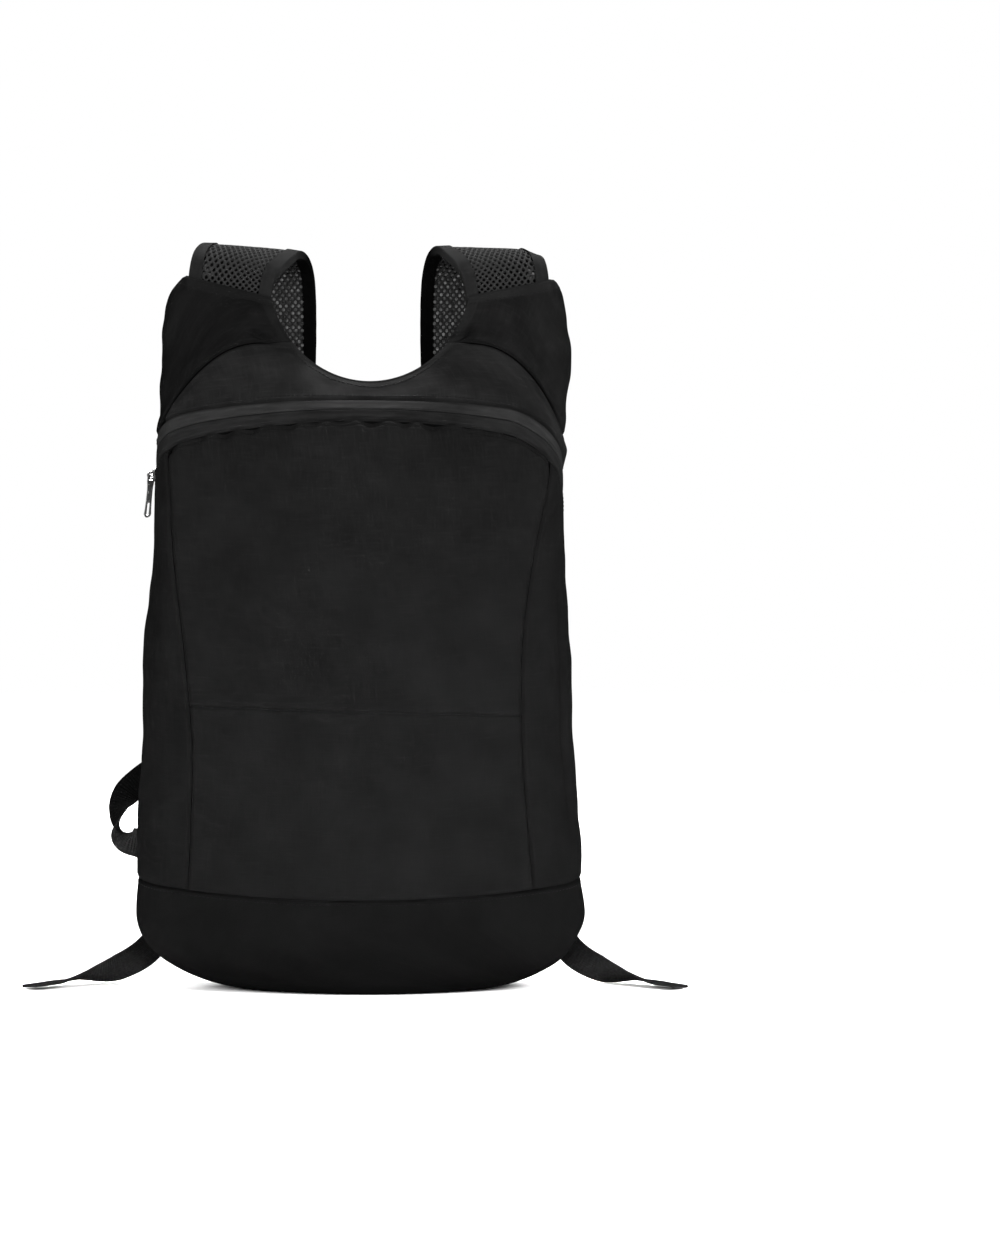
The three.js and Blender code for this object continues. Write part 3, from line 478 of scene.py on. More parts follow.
def base_grid(columns, flat_rows, round_rows, wall_rows):
    """The bowl's outer face from the middle of the flat up to the seam."""
    girth = (np.arange(columns) / columns * 4 - 2)[:, None]
    spread = np.linspace(0, 1, flat_rows + 1)[1:][None]
    low_x, low_y = section_point(FLAT_HALF, FLAT_FRONT, FLAT_BACK, FLAT_SWAY, girth)
    flat = np.stack([low_x * spread, low_y * spread, np.zeros((columns, flat_rows))], -1)
    angle = (np.linspace(1, 0, round_rows + 1)[1:] * np.pi / 2)[None]
    widen = np.cos(angle)
    wall = BODY[0]
    half, front, back, sway = (
        low + (wall[column] - low) * widen
        for low, column in ((FLAT_HALF, HALF), (FLAT_FRONT, FRONT), (FLAT_BACK, BACK), (FLAT_SWAY, SWAY))
    )
    x, y = section_point(half, front, back, sway, girth)
    rounding = np.stack(np.broadcast_arrays(x, y, BASE_ROUND * (1 - np.sin(angle))), -1)
    share = crowded(2 * wall_rows)[wall_rows:][None] * 2 - 1  # closer towards the seam
    top = base_seam(girth) - HALF_GAP
    upright = body_point(girth, BASE_ROUND + (top - BASE_ROUND) * share[:, 1:])
    return np.concatenate([flat, rounding, upright], 1)


# A darker copy of the nylon: painted shade on the base, which faces down and away from the lights.
base_nylon_shaded = nylon_finish("black_nylon_base_painted_shade", 0.0020, 0.0036)
base = base_grid(260, 8, 40, 18)
around = np.cumsum(np.linalg.norm(np.diff(base[:, -1], axis=0, append=base[:1, -1]), axis=-1))[:, None]
_, _, rise, below_seam = edge_runs(base)
folds = waves(around, rise, 11, *BASE_FOLDS)
puckers = puckers_at(below_seam, around, rise, 13, BASE_PUCKERS)
roll = groove(below_seam, 0.0016 + 0.0012 * ease(0.05, 0.13, np.abs(base[..., 0])))
relief = (folds + puckers) * ease(*BASE_LOOSE, base[..., 2]) + roll
base_panel, outer = add_cloth("base_panel", base, relief, base_nylon_shaded, (0, 0, 0, 1), closed=True)
stitch(outer, below_seam, BASE_STITCH)

# Front panel
# The large panel below the zip. It is gathered a little where it is sewn to the zip tape,
# and it keeps the line across the middle where the bag was folded into its pocket.
FRONT_SEAM = np.array([  # height, left seam, right seam
    (0.065, -0.1170, 0.1180),
    (0.110, -0.1150, 0.1140),
    (0.170, -0.1140, 0.1100),
    (0.240, -0.1210, 0.1110),
    (0.300, -0.1287, 0.1198),
    (0.345, -0.1313, 0.1300),
    (0.370, -0.1340, 0.1335),
])
SEAM_LEFT, SEAM_RIGHT = 1, 2
GIRTH_GAP = HALF_GAP / 0.15  # as a share of the girth from the front's middle to the side line
ZIP_BEND = 11  # power of the sharp turn that the zip takes at the sides
ZIP_UPPER = (0.407, 0.014, 0.016)  # height at the middle, bow, and drop of the turn
ZIP_MIDDLE = (0.399, 0.017, 0.0175)
ZIP_LOWER = (0.391, 0.020, 0.019)
ZIP_SAG, SAG_FROM, SAG_TO = 0.019, 0.65, 1.08  # drop of its right-hand end, between two girths
FRONT_FOLDS = (0.085, 1, 1, 0.0026), (0.034, 1, 0.7, 0.0010)
FRONT_FADE = 0.03  # distance over which the folds fade towards the seams
FRONT_PUCKERS = (0.011, 0.3, 1, 0.0006, 0.012), (0.013, 1, 0.3, 0.0006, 0.014)  # side and base seams
GATHER, GATHER_DEEP, GATHER_LONG = 0.021, 0.0016, 0.018  # width of a gather, depth, and how far it runs
FOLD_Z, FOLD_SLOPE, FOLD_WIDE = 0.1913, -0.027, 0.0009  # the fold line at the middle
FOLD_FAINT = 0.012, (0.015, 0.050)  # where it is faint, and distances over which it comes back
FOLD_ROWS = np.linspace(0.366, 0.410, 46)  # closer rows where the fold line runs
TOPSTITCH = 0.0034  # distance of the stitches from the zip's seam


def zip_height(edge, girth):
    top, bow, turn = edge
    g = np.abs(girth)
    beyond = top - bow - turn - (2 * bow + ZIP_BEND * turn) * (g - 1)
    arch = np.where(g > 1, beyond, top - bow * g**2 - turn * np.minimum(g, 1) ** ZIP_BEND)
    return arch - ZIP_SAG * ease(SAG_FROM, SAG_TO, girth)


def over_base(girth, _):
    return base_seam(girth) + HALF_GAP


def along_zip(line, gap):
    """A panel's edge along one of the zip's lines."""
    return lambda girth, _: zip_height(line, girth) + gap


def front_girth(share, z):
    left = girth_at(through(FRONT_SEAM, SEAM_LEFT, z), z) + GIRTH_GAP
    right = girth_at(through(FRONT_SEAM, SEAM_RIGHT, z), z) - GIRTH_GAP
    return left + (right - left) * share


def panel_runs(grid):
    """Distances from a panel's nearer side edge, its bottom, its top and the nearest of all of these."""
    first, last, bottom, top = edge_runs(grid)
    side = np.minimum(first, last)
    return side, bottom, top, np.minimum(np.minimum(side, bottom), top)


rows = np.sort(np.concatenate([crowded(190, 0.6), FOLD_ROWS]))
under_zip = along_zip(ZIP_LOWER, -HALF_GAP)
front = cut_panel(front_girth, over_base, under_zip, crowded(150, 0.5), rows)
x, z = front[..., 0], front[..., 2]
from_side, from_base, from_zip, from_edge = panel_runs(front)
folds = waves(x, z, 21, *FRONT_FOLDS) * ease(0, FRONT_FADE, from_edge)
wave = np.cos(2 * np.pi * x / GATHER + 2.2 * ripple(x, 0, 0.05, 23))
gathers = GATHER_DEEP * wave * np.exp(-from_zip / GATHER_LONG) * (0.65 + 0.5 * ripple(x, 0, 0.04, 24))
puckers = puckers_at(from_side, x, z, 25, FRONT_PUCKERS[0])
puckers = puckers + puckers_at(from_base, x, z, 26, FRONT_PUCKERS[1])
line = z - FOLD_Z - FOLD_SLOPE * x - 0.0008 * ripple(x, 0, 0.03, 27)
pressed = groove(line, 0.0010, FOLD_WIDE) + 0.0007 * bell(line - 5 * FOLD_WIDE, 0.0035)
pressed = pressed * (0.5 + 0.5 * ease(*FOLD_FAINT[1], np.abs(x - FOLD_FAINT[0])))
tuck = ease(-0.25, 0.45, ripple(x, 0, 0.014, 28))  # where the gathered cloth dips under the tape
roll = groove(from_side, 0.0014) + groove(from_zip, 0.0014 + 0.0034 * tuck, 0.0014 + 0.0032 * tuck)
roll = roll + groove(from_base, 0.0006, 0.0012) + groove(from_zip - TOPSTITCH, 0.0009, 0.0008)
relief = folds + gathers + puckers + pressed + roll
front_panel, outer = add_cloth("front_panel", front, relief, nylon, (1, 1, 1, 1))
stitch(outer, from_zip, TOPSTITCH)

# Side panels
# Narrow panels from the curved front seams round the side to the back seams.
# The cloth is slack here and falls into soft upright folds.
SIDE_DENTS = np.array([  # girth, height, spread of girth, spread of height, depth
    (0.89, 0.195, 0.04, 0.070, 0.0046),
    (0.97, 0.150, 0.03, 0.060, -0.0012),
    (-0.90, 0.215, 0.04, 0.045, 0.0018),
    (-0.95, 0.300, 0.03, 0.050, 0.0012),
])
SIDE_FOLDS = (0.030, 1, 0.45, 0.0022), (0.018, 1, 1, 0.0006)
SIDE_FADE = 0.015
SIDE_PUCKERS = (0.011, 0.3, 1, 0.0007, 0.010)
# A darker copy of the nylon: painted shade on the sides, which turn away from the lights in front.
side_nylon_shaded = nylon_finish("black_nylon_sides_painted_shade", 0.0026, 0.0047)


def side_panel(name, side, seed):
    def side_girth(share, z):
        seam = through(FRONT_SEAM, SEAM_RIGHT if side > 0 else SEAM_LEFT, z)
        at_front = girth_at(seam, z) + side * GIRTH_GAP
        at_back = side * (BACK_SEAM - GIRTH_GAP)
        first, last = (at_front, at_back) if side > 0 else (at_back, at_front)
        return first + (last - first) * share

    columns = crowded(60, 0.5)
    grid = cut_panel(side_girth, over_base, under_zip, columns, crowded(190, 0.6))
    z = grid[..., 2]
    place = side_girth(columns[:, None], z)
    from_side, from_base, from_zip, from_edge = panel_runs(grid)
    around = run_along(grid)
    dents = sum(
        -deep * bell(place - at, wide) * bell(z - height, tall)
        for at, height, wide, tall, deep in SIDE_DENTS
    )
    folds = waves(around, z, seed, *SIDE_FOLDS) * ease(0, SIDE_FADE, from_edge)
    puckers = puckers_at(from_side, around, z, seed + 2, SIDE_PUCKERS)
    roll = groove(from_side, 0.0014) + groove(from_base, 0.0008) + groove(from_zip, 0.0016)
    piece, outer = add_cloth(name, grid, dents + folds + puckers + roll, side_nylon_shaded, (1, 1, 1, 1))
    stitch(outer, from_zip, TOPSTITCH)


side_panel("side_panel_left", -1, 31)
side_panel("side_panel_right", 1, 36)

# Zip tapes
# A closed coil zip sewn in with its coil inside, so two woven tapes meet in a line on the outside.
# The tapes run right round the arch from back seam to back seam.
ZIP_RIB = 0.0007
TAPE_MIDDLE = 0.21  # distance along the tape from its left-hand end
ALL_ROUND = np.linspace(-BACK_SEAM + GIRTH_GAP, BACK_SEAM - GIRTH_GAP, 321)  # girths of the columns


def tape_finish(name, dark, light):
    material, shader, cut = cloth_finish(name)
    ribs = cut.threads("Y", ZIP_RIB) * 0.5 + cut.threads("X", ZIP_RIB) * 0.5
    wear = cut.stretched(60, 400).noise(3.0)
    from_middle = cut.axis("X") - TAPE_MIDDLE
    middle_shade = (from_middle * from_middle).ramp(0.005, 0.0)  # painted shade at the middle, where the light overhead falls brightest
    colour = ((wear - 0.5) * 1.6 + 0.5 - middle_shade * 0.4).blend(grey(dark), grey(light))
    relief = ribs * 0.00003 + wear * 0.00008
    feed(shader, Base_Color=colour, Roughness=0.6 + (wear - 0.5) * 0.2, Normal=relief.bump(0.6))
    return material


def given_girth(girth, _):
    """For panels whose columns are girths and not shares."""
    return girth


def zip_tape(name, low, high, seam_below, finish):
    edges = along_zip(low, HALF_GAP), along_zip(high, -HALF_GAP)
    grid = cut_panel(given_girth, *edges, ALL_ROUND, crowded(16))
    _, _, from_bottom, from_top = edge_runs(grid)
    at_seam, at_coil = (from_bottom, from_top) if seam_below else (from_top, from_bottom)
    relief = groove(at_seam, 0.0020, 0.0012) + groove(at_coil, 0.0005, 0.0004)
    relief = relief - 0.0004 + 0.0003 * bell(at_coil - 0.0010, 0.0009)
    piece, _ = add_cloth(name, grid, relief, finish, (1, 1, seam_below, not seam_below))


# The two tapes are one cloth. The upper takes a lighter copy: painted light where it faces up to the light
# overhead.
zip_tape("zip_tape_lower", ZIP_LOWER, ZIP_MIDDLE, True, tape_finish("zip_tape_lower", 0.0035, 0.0081))
zip_tape("zip_tape_upper", ZIP_MIDDLE, ZIP_UPPER, False, tape_finish("zip_tape_upper", 0.0058, 0.0132))

# Yoke
# The panel above the zip, cut out for the neck and sewn to the ears along two curved seams.
SHOULDER_TOP, SHOULDER_START = 0.4475, 0.062  # where the shoulder seams begin to fall
SHOULDER_REACH, SHOULDER_FALL, SHOULDER_POWER = 0.078, 0.060, 2.75
YOKE_LEAST = 0.0016  # height of the yoke where it is narrowest
YOKE_FOLDS = (0.045, 1, 1, 0.0022), (0.020, 1, 1.6, 0.0008)
YOKE_FADE = 0.012
YOKE_BULGE, YOKE_BULGE_AT, YOKE_BULGE_WIDE = 0.0018, 0.013, 0.009  # height, distance from the top, width
YOKE_TUCK, YOKE_TUCK_Z, YOKE_TUCK_SLOPE = 0.060, 0.4435, 0.35  # where the right-hand seam reaches the neck
YOKE_STITCH, NECK_STITCH = 0.0028, 0.0062  # distances of the stitches from the zip and from the neck
NECK_COLUMNS = slice(100, 221)  # those that end at the neck
NECK_HEM = 0.0065


def shoulder_seam(girth, z):
    run = np.maximum((reach(girth, z) - SHOULDER_START) / SHOULDER_REACH, 0)
    seam = SHOULDER_TOP - SHOULDER_FALL * run**SHOULDER_POWER
    return np.maximum(seam, zip_height(ZIP_UPPER, girth) + YOKE_LEAST)


def neck_height(girth, z):
    x, _ = body_sides(girth, z)
    share = np.clip((x - NECK_X) / NECK_HALF, -1, 1)
    return NECK_Z - NECK_DROP * np.sqrt(1 - share**2)


def yoke_top(girth, z):
    return np.minimum(neck_height(girth, z), shoulder_seam(girth, z) - HALF_GAP)


yoke = cut_panel(given_girth, along_zip(ZIP_UPPER, HALF_GAP), yoke_top, ALL_ROUND, crowded(46, 0.6))
x, z = yoke[..., 0], yoke[..., 2]
_, _, from_zip, from_top = edge_runs(yoke)
bulge = YOKE_BULGE * bell(from_top - YOKE_BULGE_AT, YOKE_BULGE_WIDE) * ease(0.03, 0.06, np.abs(x - NECK_X))
folds = (waves(x, z, 41, *YOKE_FOLDS) + bulge) * ease(0, YOKE_FADE, np.minimum(from_zip, from_top))
at_seam = ease(0.004, 0.014, neck_distance(x, z + from_top))  # the seam flattens out before the neck
roll = groove(from_zip, 0.0026, 0.0013) + at_seam * groove(from_top, 0.0036, 0.0018)
hem = bell(np.maximum(np.abs(x - NECK_X) - 0.040, 0), 0.020)
hem = hem * ease(NECK_HEM + 0.0005, NECK_HEM - 0.0005, from_top)
along = x - YOKE_TUCK
tuck = bell(along, 0.010) * groove(z - YOKE_TUCK_Z - YOKE_TUCK_SLOPE * along, 0.0016, 0.0025)
# A paler copy of the nylon: painted light on the yoke, which faces up to the light overhead.
yoke_nylon_lit = nylon_finish("black_nylon_yoke_painted_light", 0.0036, 0.0070, clouding=3.6)
relief = folds + roll + 0.0003 * hem + tuck
sewn = (1, 1, 1, at_seam)
yoke_panel, outer = add_cloth("yoke_panel", yoke, relief, yoke_nylon_lit, sewn, doubled_and_lit=0.5 * hem)
stitch(outer, from_zip, YOKE_STITCH)
stitch(outer[NECK_COLUMNS], from_top[NECK_COLUMNS], NECK_STITCH)

# Shoulder panels
# The cloth ears that cover the roots of the straps, with a turned hem along the top
# and along the edge towards the neck.
HEM_FOLD = 0.0085  # width of the turned hem
HEM_STITCH = HEM_FOLD - 0.0014  # distance of its stitches from the edge
EAR_FOLDS = (0.042, 1, 0.8, 0.0044), (0.018, 1.3, 1, 0.0010)
EAR_FADE, EAR_FADE_HEM = 0.014, 0.020  # towards the seams and towards the hem
EAR_BULGE, EAR_BULGE_AT, EAR_BULGE_WIDE = 0.0034, 0.017, 0.010  # height, distance from the neck, width
EAR_PUCKERS = (0.010, 1, 0.3, 0.0007, 0.010)
EAR_TUCK, EAR_TUCK_Z, EAR_TUCK_SLOPE = 0.066, 0.4500, 0.41  # where the seam reaches the neck


def shoulder_panel(name, side, seed, finish):
    def inner_girth(z):
        share = (NECK_Z - np.maximum(z, SHOULDER_TOP)) / NECK_DROP
        return girth_at(NECK_X + side * NECK_HALF * np.sqrt(np.maximum(1 - share**2, 0)), z)

    def ear_girth(share, z):
        inner, outer = inner_girth(z), side * (BACK_SEAM - GIRTH_GAP)
        out = share if side > 0 else 1 - share
        return inner + (outer - inner) * out

    def over_yoke(girth, z):
        return shoulder_seam(girth, z) + HALF_GAP

    grid = cut_panel(ear_girth, over_yoke, hem_height, crowded(90, 0.6), crowded(90, 0.6))
    x, z = grid[..., 0], grid[..., 2]
    from_first, from_last, from_seam, from_hem = edge_runs(grid)
    from_neck, from_back = (from_first, from_last) if side > 0 else (from_last, from_first)
    bulge = EAR_BULGE * bell(from_neck - EAR_BULGE_AT, EAR_BULGE_WIDE)
    fade = ease(0, EAR_FADE, np.minimum(from_seam, from_back)) * ease(0, EAR_FADE_HEM, from_hem)
    folds = (waves(x, z, seed, *EAR_FOLDS) + bulge) * fade
    turned = ease(HEM_FOLD, HEM_FOLD - 0.002, from_hem)
    turned = np.maximum(turned, ease(HEM_FOLD, HEM_FOLD - 0.003, from_neck))
    at_seam = ease(0.004, 0.014, neck_distance(x, z))
    roll = at_seam * groove(from_seam, 0.0018, 0.0012) + groove(from_back, 0.0013, 0.0013)
    roll = roll + groove(from_hem, 0.0012, 0.0012)
    puckers = puckers_at(from_hem, x, z, seed + 2, EAR_PUCKERS)
    along = x * side - EAR_TUCK
    tuck = bell(along - 0.004, 0.008) * groove(z - EAR_TUCK_Z - EAR_TUCK_SLOPE * along, 0.0042, 0.0024)
    relief = folds + 0.0002 * turned + roll + puckers + tuck
    sewn = (0, 1, 1, 0) if side > 0 else (1, 0, 1, 0)
    piece, outer = add_cloth(name, grid, relief, finish, sewn, doubled_and_lit=turned)
    stitch(outer, from_hem, HEM_STITCH)


# The left ear takes a darker copy of the nylon: painted shade, as the stronger light stands on the right.
left_ear_nylon_shaded = nylon_finish("black_nylon_left_ear_painted_shade", 0.0018, 0.0037, clouding=3.2)
right_nylon = nylon_finish("black_nylon_right_ear", 0.0026, 0.0053, clouding=3.2)
shoulder_panel("shoulder_panel_left", -1, 51, left_ear_nylon_shaded)
shoulder_panel("shoulder_panel_right", 1, 56, right_nylon)

# Back panel
# One plain piece against the wearer's back, from the base seam to the neck and the ears' hems.
BACK_GAP = 6 * GIRTH_GAP
BACK_FOLDS = (0.075, 1, 1, 0.0016), (0.030, 1, 1, 0.0005)
BACK_PUCKERS = (0.011, 0.3, 1, 0.0006, 0.012), (0.012, 1, 0.3, 0.0006, 0.014)  # side and base seams


def back_girth(share, _):
    turn = BACK_SEAM + BACK_GAP + (4 - 2 * BACK_SEAM - 2 * BACK_GAP) * share
    return np.where(turn <= 2, turn, turn - 4)


def back_top(girth, z):
    return np.minimum(neck_height(girth, z), hem_height(girth, z))


back = cut_panel(back_girth, over_base, back_top, crowded(120, 0.4), crowded(120, 0.5))
x, z = back[..., 0], back[..., 2]
from_side, from_base, from_top, from_edge = panel_runs(back)
folds = waves(x, z, 61, *BACK_FOLDS) * ease(0, FRONT_FADE, from_edge)
puckers = puckers_at(from_side, x, z, 63, BACK_PUCKERS[0])
puckers = puckers + puckers_at(from_base, x, z, 64, BACK_PUCKERS[1])
roll = groove(from_side, 0.0013, 0.0013) + groove(from_base, 0.0010, 0.0013)
hem = 0.0004 * ease(HEM_FOLD, HEM_FOLD - 0.001, from_top)
back_panel, outer = add_cloth("back_panel", back, folds + puckers + roll + hem, nylon, (1, 1, 1, 0))
stitch(outer, from_base, BASE_STITCH)
stitch(outer, from_top, HEM_STITCH)

# Shoulder straps
# Spacer mesh: a knitted pad pierced by rows of open cells, bound along both edges with folded tape.
# It is sewn into the ears at the top, and pressed thin at the lower end, where the adjuster is sewn on.
STRAP_THICK = 0.004
STRAP_LINE = np.array([  # out from the middle, back, height, width
    (0.0970, 0.0340, 0.4500, 0.054),
    (0.0970, 0.0342, 0.4860, 0.057),
    (0.0935, 0.0400, 0.5025, 0.060),
    (0.0820, 0.0610, 0.5120, 0.068),
    (0.0760, 0.0810, 0.5010, 0.071),
    (0.0740, 0.0900, 0.4620, 0.071),
    (0.0760, 0.0930, 0.4000, 0.069),
    (0.0840, 0.0940, 0.3250, 0.062),
    (0.0960, 0.0900, 0.2580, 0.052),
    (0.1100, 0.0800, 0.2000, 0.044),
])
CELL_ACROSS = 0.0044
CELL_ROW = 0.0025  # rows of cells are staggered
CELL_RIM = (0.66, 0.92)  # where the hole's rim starts to turn down, as shares of the cell's width and length
CELL_HOLE = (0.46, 0.78)
CELL_TURN = 0.0006  # depth of the rounded rim
KNIT = 0.0008
YARN_LAYER = 0.0002
STRAP_END = 0.012  # length of the pressed end
BULGE_COMES, BULGE_GOES = (0.038, 0.064), (0.095, 0.140)  # runs along the strap
STRAP_OVER = {  # over the shoulder: rise of the middle, rise to the right-hand edge, bow, droop of that edge
    "left": (0.0042, -0.0028, -0.0038, 0.0),
    "right": (0.0034, -0.0011, -0.0033, 0.0044),
}
BINDING_LAP = 0.008
BINDING_THICK = 0.0008
BINDING_GAP = 0.0003
BINDING_SOFT = 0.0011  # radius of its outer corners
BINDING_RIB = 0.0009
LIT_TOP, FAR_LEG = (0.048, 0.062), (0.078, 0.092)  # runs over which the binding's tone changes


def unit(vectors):
    return vectors / np.linalg.norm(vectors, axis=-1, keepdims=True)


def smooth_line(stations, places):
    """A smooth line through stations, passing them evenly in time with the root of their distance."""
    first = 2 * stations[:1] - stations[1:2]
    last = 2 * stations[-1:] - stations[-2:-1]
    knots = np.concatenate([first, stations, last])
    k = np.clip(np.floor(places).astype(int), 0, len(stations) - 2)
    t = (places - k)[:, None]
    p0, p1, p2, p3 = (knots[k + i] for i in range(4))
    d0, d1, d2 = (
        np.sqrt(np.linalg.norm(b - a, axis=-1, keepdims=True)) for a, b in ((p0, p1), (p1, p2), (p2, p3))
    )
    leave = ((p1 - p0) / d0 - (p2 - p0) / (d0 + d1) + (p2 - p1) / d1) * d1
    arrive = ((p2 - p1) / d1 - (p3 - p1) / (d1 + d2) + (p3 - p2) / d2) * d1
    square = -3 * p1 + 3 * p2 - 2 * leave - arrive
    cube = 2 * p1 - 2 * p2 + leave + arrive
    return p1 + leave * t + square * t**2 + cube * t**3


class Ribbon:
    """A band that follows a smooth line, with frames along it at even steps of its length."""

    def __init__(self, stations, across, steps):
        places = np.linspace(0, len(stations) - 1, 4000)
        line = smooth_line(np.asarray(stations, float), places)
        run = run_along(line)
        self.length = run[-1]
        self.run = np.linspace(0, self.length, steps + 1)
        self.place = np.interp(self.run, run, places)
        self.origin = along_line(line, run, self.run)
        along = unit(np.gradient(self.origin, axis=0))
        side = along_line(across, range(len(across)), self.place)
        self.across = unit(side - along * (side * along).sum(-1, keepdims=True))
        self.normal = np.cross(self.across, along)

    def at(self, across, run, up):
        """Points at a place across the band, a run along it and a height above it."""
        parts = (self.origin, self.across, self.normal)
        origin, side, normal = (along_line(part, self.run, run) for part in parts)
        return origin + side * np.asarray(across)[..., None] + normal * np.asarray(up)[..., None]


def swept_faces(rings, sides):
    """Faces of a closed sweep with flat ends."""
    index = np.arange(rings * sides).reshape(rings, sides)
    after = np.roll(index, -1, 1)
    walls = np.stack([index[:-1], index[1:], after[1:], after[:-1]], -1).reshape(-1, 4).tolist()
    return walls + [index[0].tolist(), index[-1][::-1].tolist()]


def strap_ribbon(side):
    stations = np.stack([STRAP_SWAY + side * STRAP_LINE[:, 0], STRAP_LINE[:, 1], STRAP_LINE[:, 2]], -1)
    ribbon = Ribbon(stations, np.tile((1.0, 0.0, 0.0), (len(stations), 1)), 900)
    rows = np.column_stack([np.arange(len(stations)), STRAP_LINE[:, 3]])
    ribbon.edge = through(rows, 1, ribbon.place) / 2
    return ribbon


def on_strap(ribbon, name, w, run, up):
    """Points of the strap, which bulges and tilts where it goes over the shoulder."""
    share = np.clip(w / np.interp(run, ribbon.run, ribbon.edge), -1, 1)
    over = ease(*BULGE_COMES, run) * (1 - 0.8 * ease(*BULGE_GOES, run))
    rise, tilt, bow, droop = STRAP_OVER[name]
    lift = rise + tilt * share + bow * share**2 - droop * np.clip(share, 0, 1)**8
    return ribbon.at(w, run, up + over * lift)


def strap_cells(ribbon):
    """Places across, along and above the strap, and faces, of its six-sided cells with rounded holes."""
    rows = int(round(ribbon.length / CELL_ROW))
    row = ribbon.length / rows
    hexagon = [(0, 2), (-1, 1), (-1, -1), (0, -2), (1, -1), (1, 1)]  # in half cells and third rows
    places, faces, corners, borders = [], [], {}, {}

    def level(run):
        """Half the pad's thickness, which is pressed thin at the lower end."""
        pressed = ease(ribbon.length - STRAP_END, ribbon.length - 0.4 * STRAP_END, run)
        return STRAP_THICK / 2 * (1 - 0.45 * pressed)

    def put(w, run, up):
        edge = np.interp(run, ribbon.run, ribbon.edge)
        places.append((min(max(w, -edge), edge), min(max(run, 0), ribbon.length), up))
        return len(places) - 1

    def ring(w, run, up, wide, tall):
        return [put(w + a * wide * CELL_ACROSS / 2, run + b * tall * row / 3, up) for a, b in hexagon]

    for j in range(-1, rows + 1):
        run = (j + 0.5) * row
        edge = np.interp(run, ribbon.run, ribbon.edge)
        half_cells = int(edge / CELL_ACROSS) + 2
        for i in range(-half_cells, half_cells + 1):
            w = (i + 0.5 * (j % 2)) * CELL_ACROSS
            if abs(w) > edge + 0.45 * CELL_ACROSS:
                continue
            keys = [(2 * i + j % 2 + a, 3 * j + b) for a, b in hexagon]
            for key, (a, b) in zip(keys, hexagon):
                if key not in corners:
                    at = w + a * CELL_ACROSS / 2, run + b * row / 3
                    corners[key] = [put(*at, sign * level(at[1])) for sign in (1, -1)]
            for side in zip(keys, keys[1:] + keys[:1]):
                borders.setdefault(frozenset(side), []).append(side)
            over, under = zip(*(corners[key] for key in keys))
            pierced = abs(w) < edge - 0.9 * CELL_ACROSS and row < run < ribbon.length - STRAP_END
            if not pierced:
                faces += [over, under[::-1]]
                continue
            rim, hole = level(run) - 0.1 * CELL_TURN, level(run) - CELL_TURN
            rings = [over, ring(w, run, rim, *CELL_RIM), ring(w, run, hole, *CELL_HOLE)]
            rings += [ring(w, run, -hole, *CELL_HOLE), ring(w, run, -rim, *CELL_RIM), under]
            for upper, lower in zip(rings, rings[1:]):
                for k in range(6):
                    n = (k + 1) % 6
                    faces.append([upper[k], upper[n], lower[n], lower[k]])
    for cells in borders.values():
        if len(cells) == 1:
            (a, c), (b, d) = (corners[key] for key in cells[0])
            faces.append([b, a, c, d])
    return np.array(places), faces


def strap_yarns(ribbon):
    """The same for the thin layer of spacer yarns inside the pad, which half closes its holes."""
    run = np.linspace(0.002, ribbon.length - STRAP_END, 161)[:, None]
    half = np.interp(run, ribbon.run, ribbon.edge) - 0.6 * BINDING_LAP
    w, run = np.broadcast_arrays(-half * np.linspace(-1, 1, 9)[None], run)
    sides = [np.stack([w, run, np.full_like(w, up)], -1) for up in (YARN_LAYER / 2, -YARN_LAYER / 2)]
    return np.reshape(sides, (-1, 3)), cloth_faces(*w.shape)


pad, shader, cut = cloth_finish("spacer_mesh")
fuzz = cut.stretched(700, 700).noise(3.0)
colour = fuzz.blend(grey(0.0056), grey(0.0160))
relief = cut.threads("X", KNIT) * cut.threads("Y", KNIT) * 0.00006 + fuzz * 0.00012
feed(shader, Base_Color=colour, Roughness=0.65 + (fuzz - 0.5) * 0.2, Normal=relief.bump(0.7))

# The yarn layer is black yarn, darkened further as painted shade down in the pad's holes.
yarns, shader, cut = cloth_finish("spacer_yarns", Roughness=0.7)
feed(shader, Base_Color=cut.stretched(900, 900).noise().blend(grey(0.0016), grey(0.0040)))
feed(shader, Alpha=(cut.stretched(260, 260).noise() - 0.5) * 0.8 + 0.75)

# The tape carries a painted highlight over the shoulder, where it faces the light above, and painted shade,
# deep black, along the far leg.
binding, shader, cut = cloth_finish("binding_tape")
run = cut.axis("Y")
wear = cut.stretched(300, 120).noise(3.0)
near_tone = wear.blend(grey(0.0036), grey(0.0072))
lit_top_tone = wear.blend(grey(0.0044), grey(0.0098))
far_leg_shade = wear.blend(grey(0.0006), grey(0.0014))
colour = run.ramp(*FAR_LEG).blend(run.ramp(*LIT_TOP).blend(near_tone, lit_top_tone), far_leg_shade)
relief = cut.threads("Y", BINDING_RIB) * 0.00004 + wear * 0.0001
feed(shader, Base_Color=colour, Roughness=0.62 + (wear - 0.5) * 0.2, Normal=relief.bump(0.6))


def binding_outline(sign):
    """The folded tape's section, as offsets from the strap's edge and heights, round its outer corners."""
    near = STRAP_THICK / 2 + BINDING_GAP
    far = near + BINDING_THICK
    soft = BINDING_SOFT
    turn = np.radians([0, 22.5, 45, 67.5, 90])
    wall = BINDING_GAP + BINDING_THICK - soft
    outline = [(-BINDING_LAP, -far)]
    outline += [(wall + soft * math.sin(t), -far + soft - soft * math.cos(t)) for t in turn]
    outline += [(wall + soft * math.cos(t), far - soft + soft * math.sin(t)) for t in turn]
    outline += [(-BINDING_LAP, far), (-BINDING_LAP, near), (BINDING_GAP, near)]
    outline += [(BINDING_GAP, -near), (-BINDING_LAP, -near)]
    return np.array(outline) if sign > 0 else (np.array(outline) * (-1, 1))[::-1]


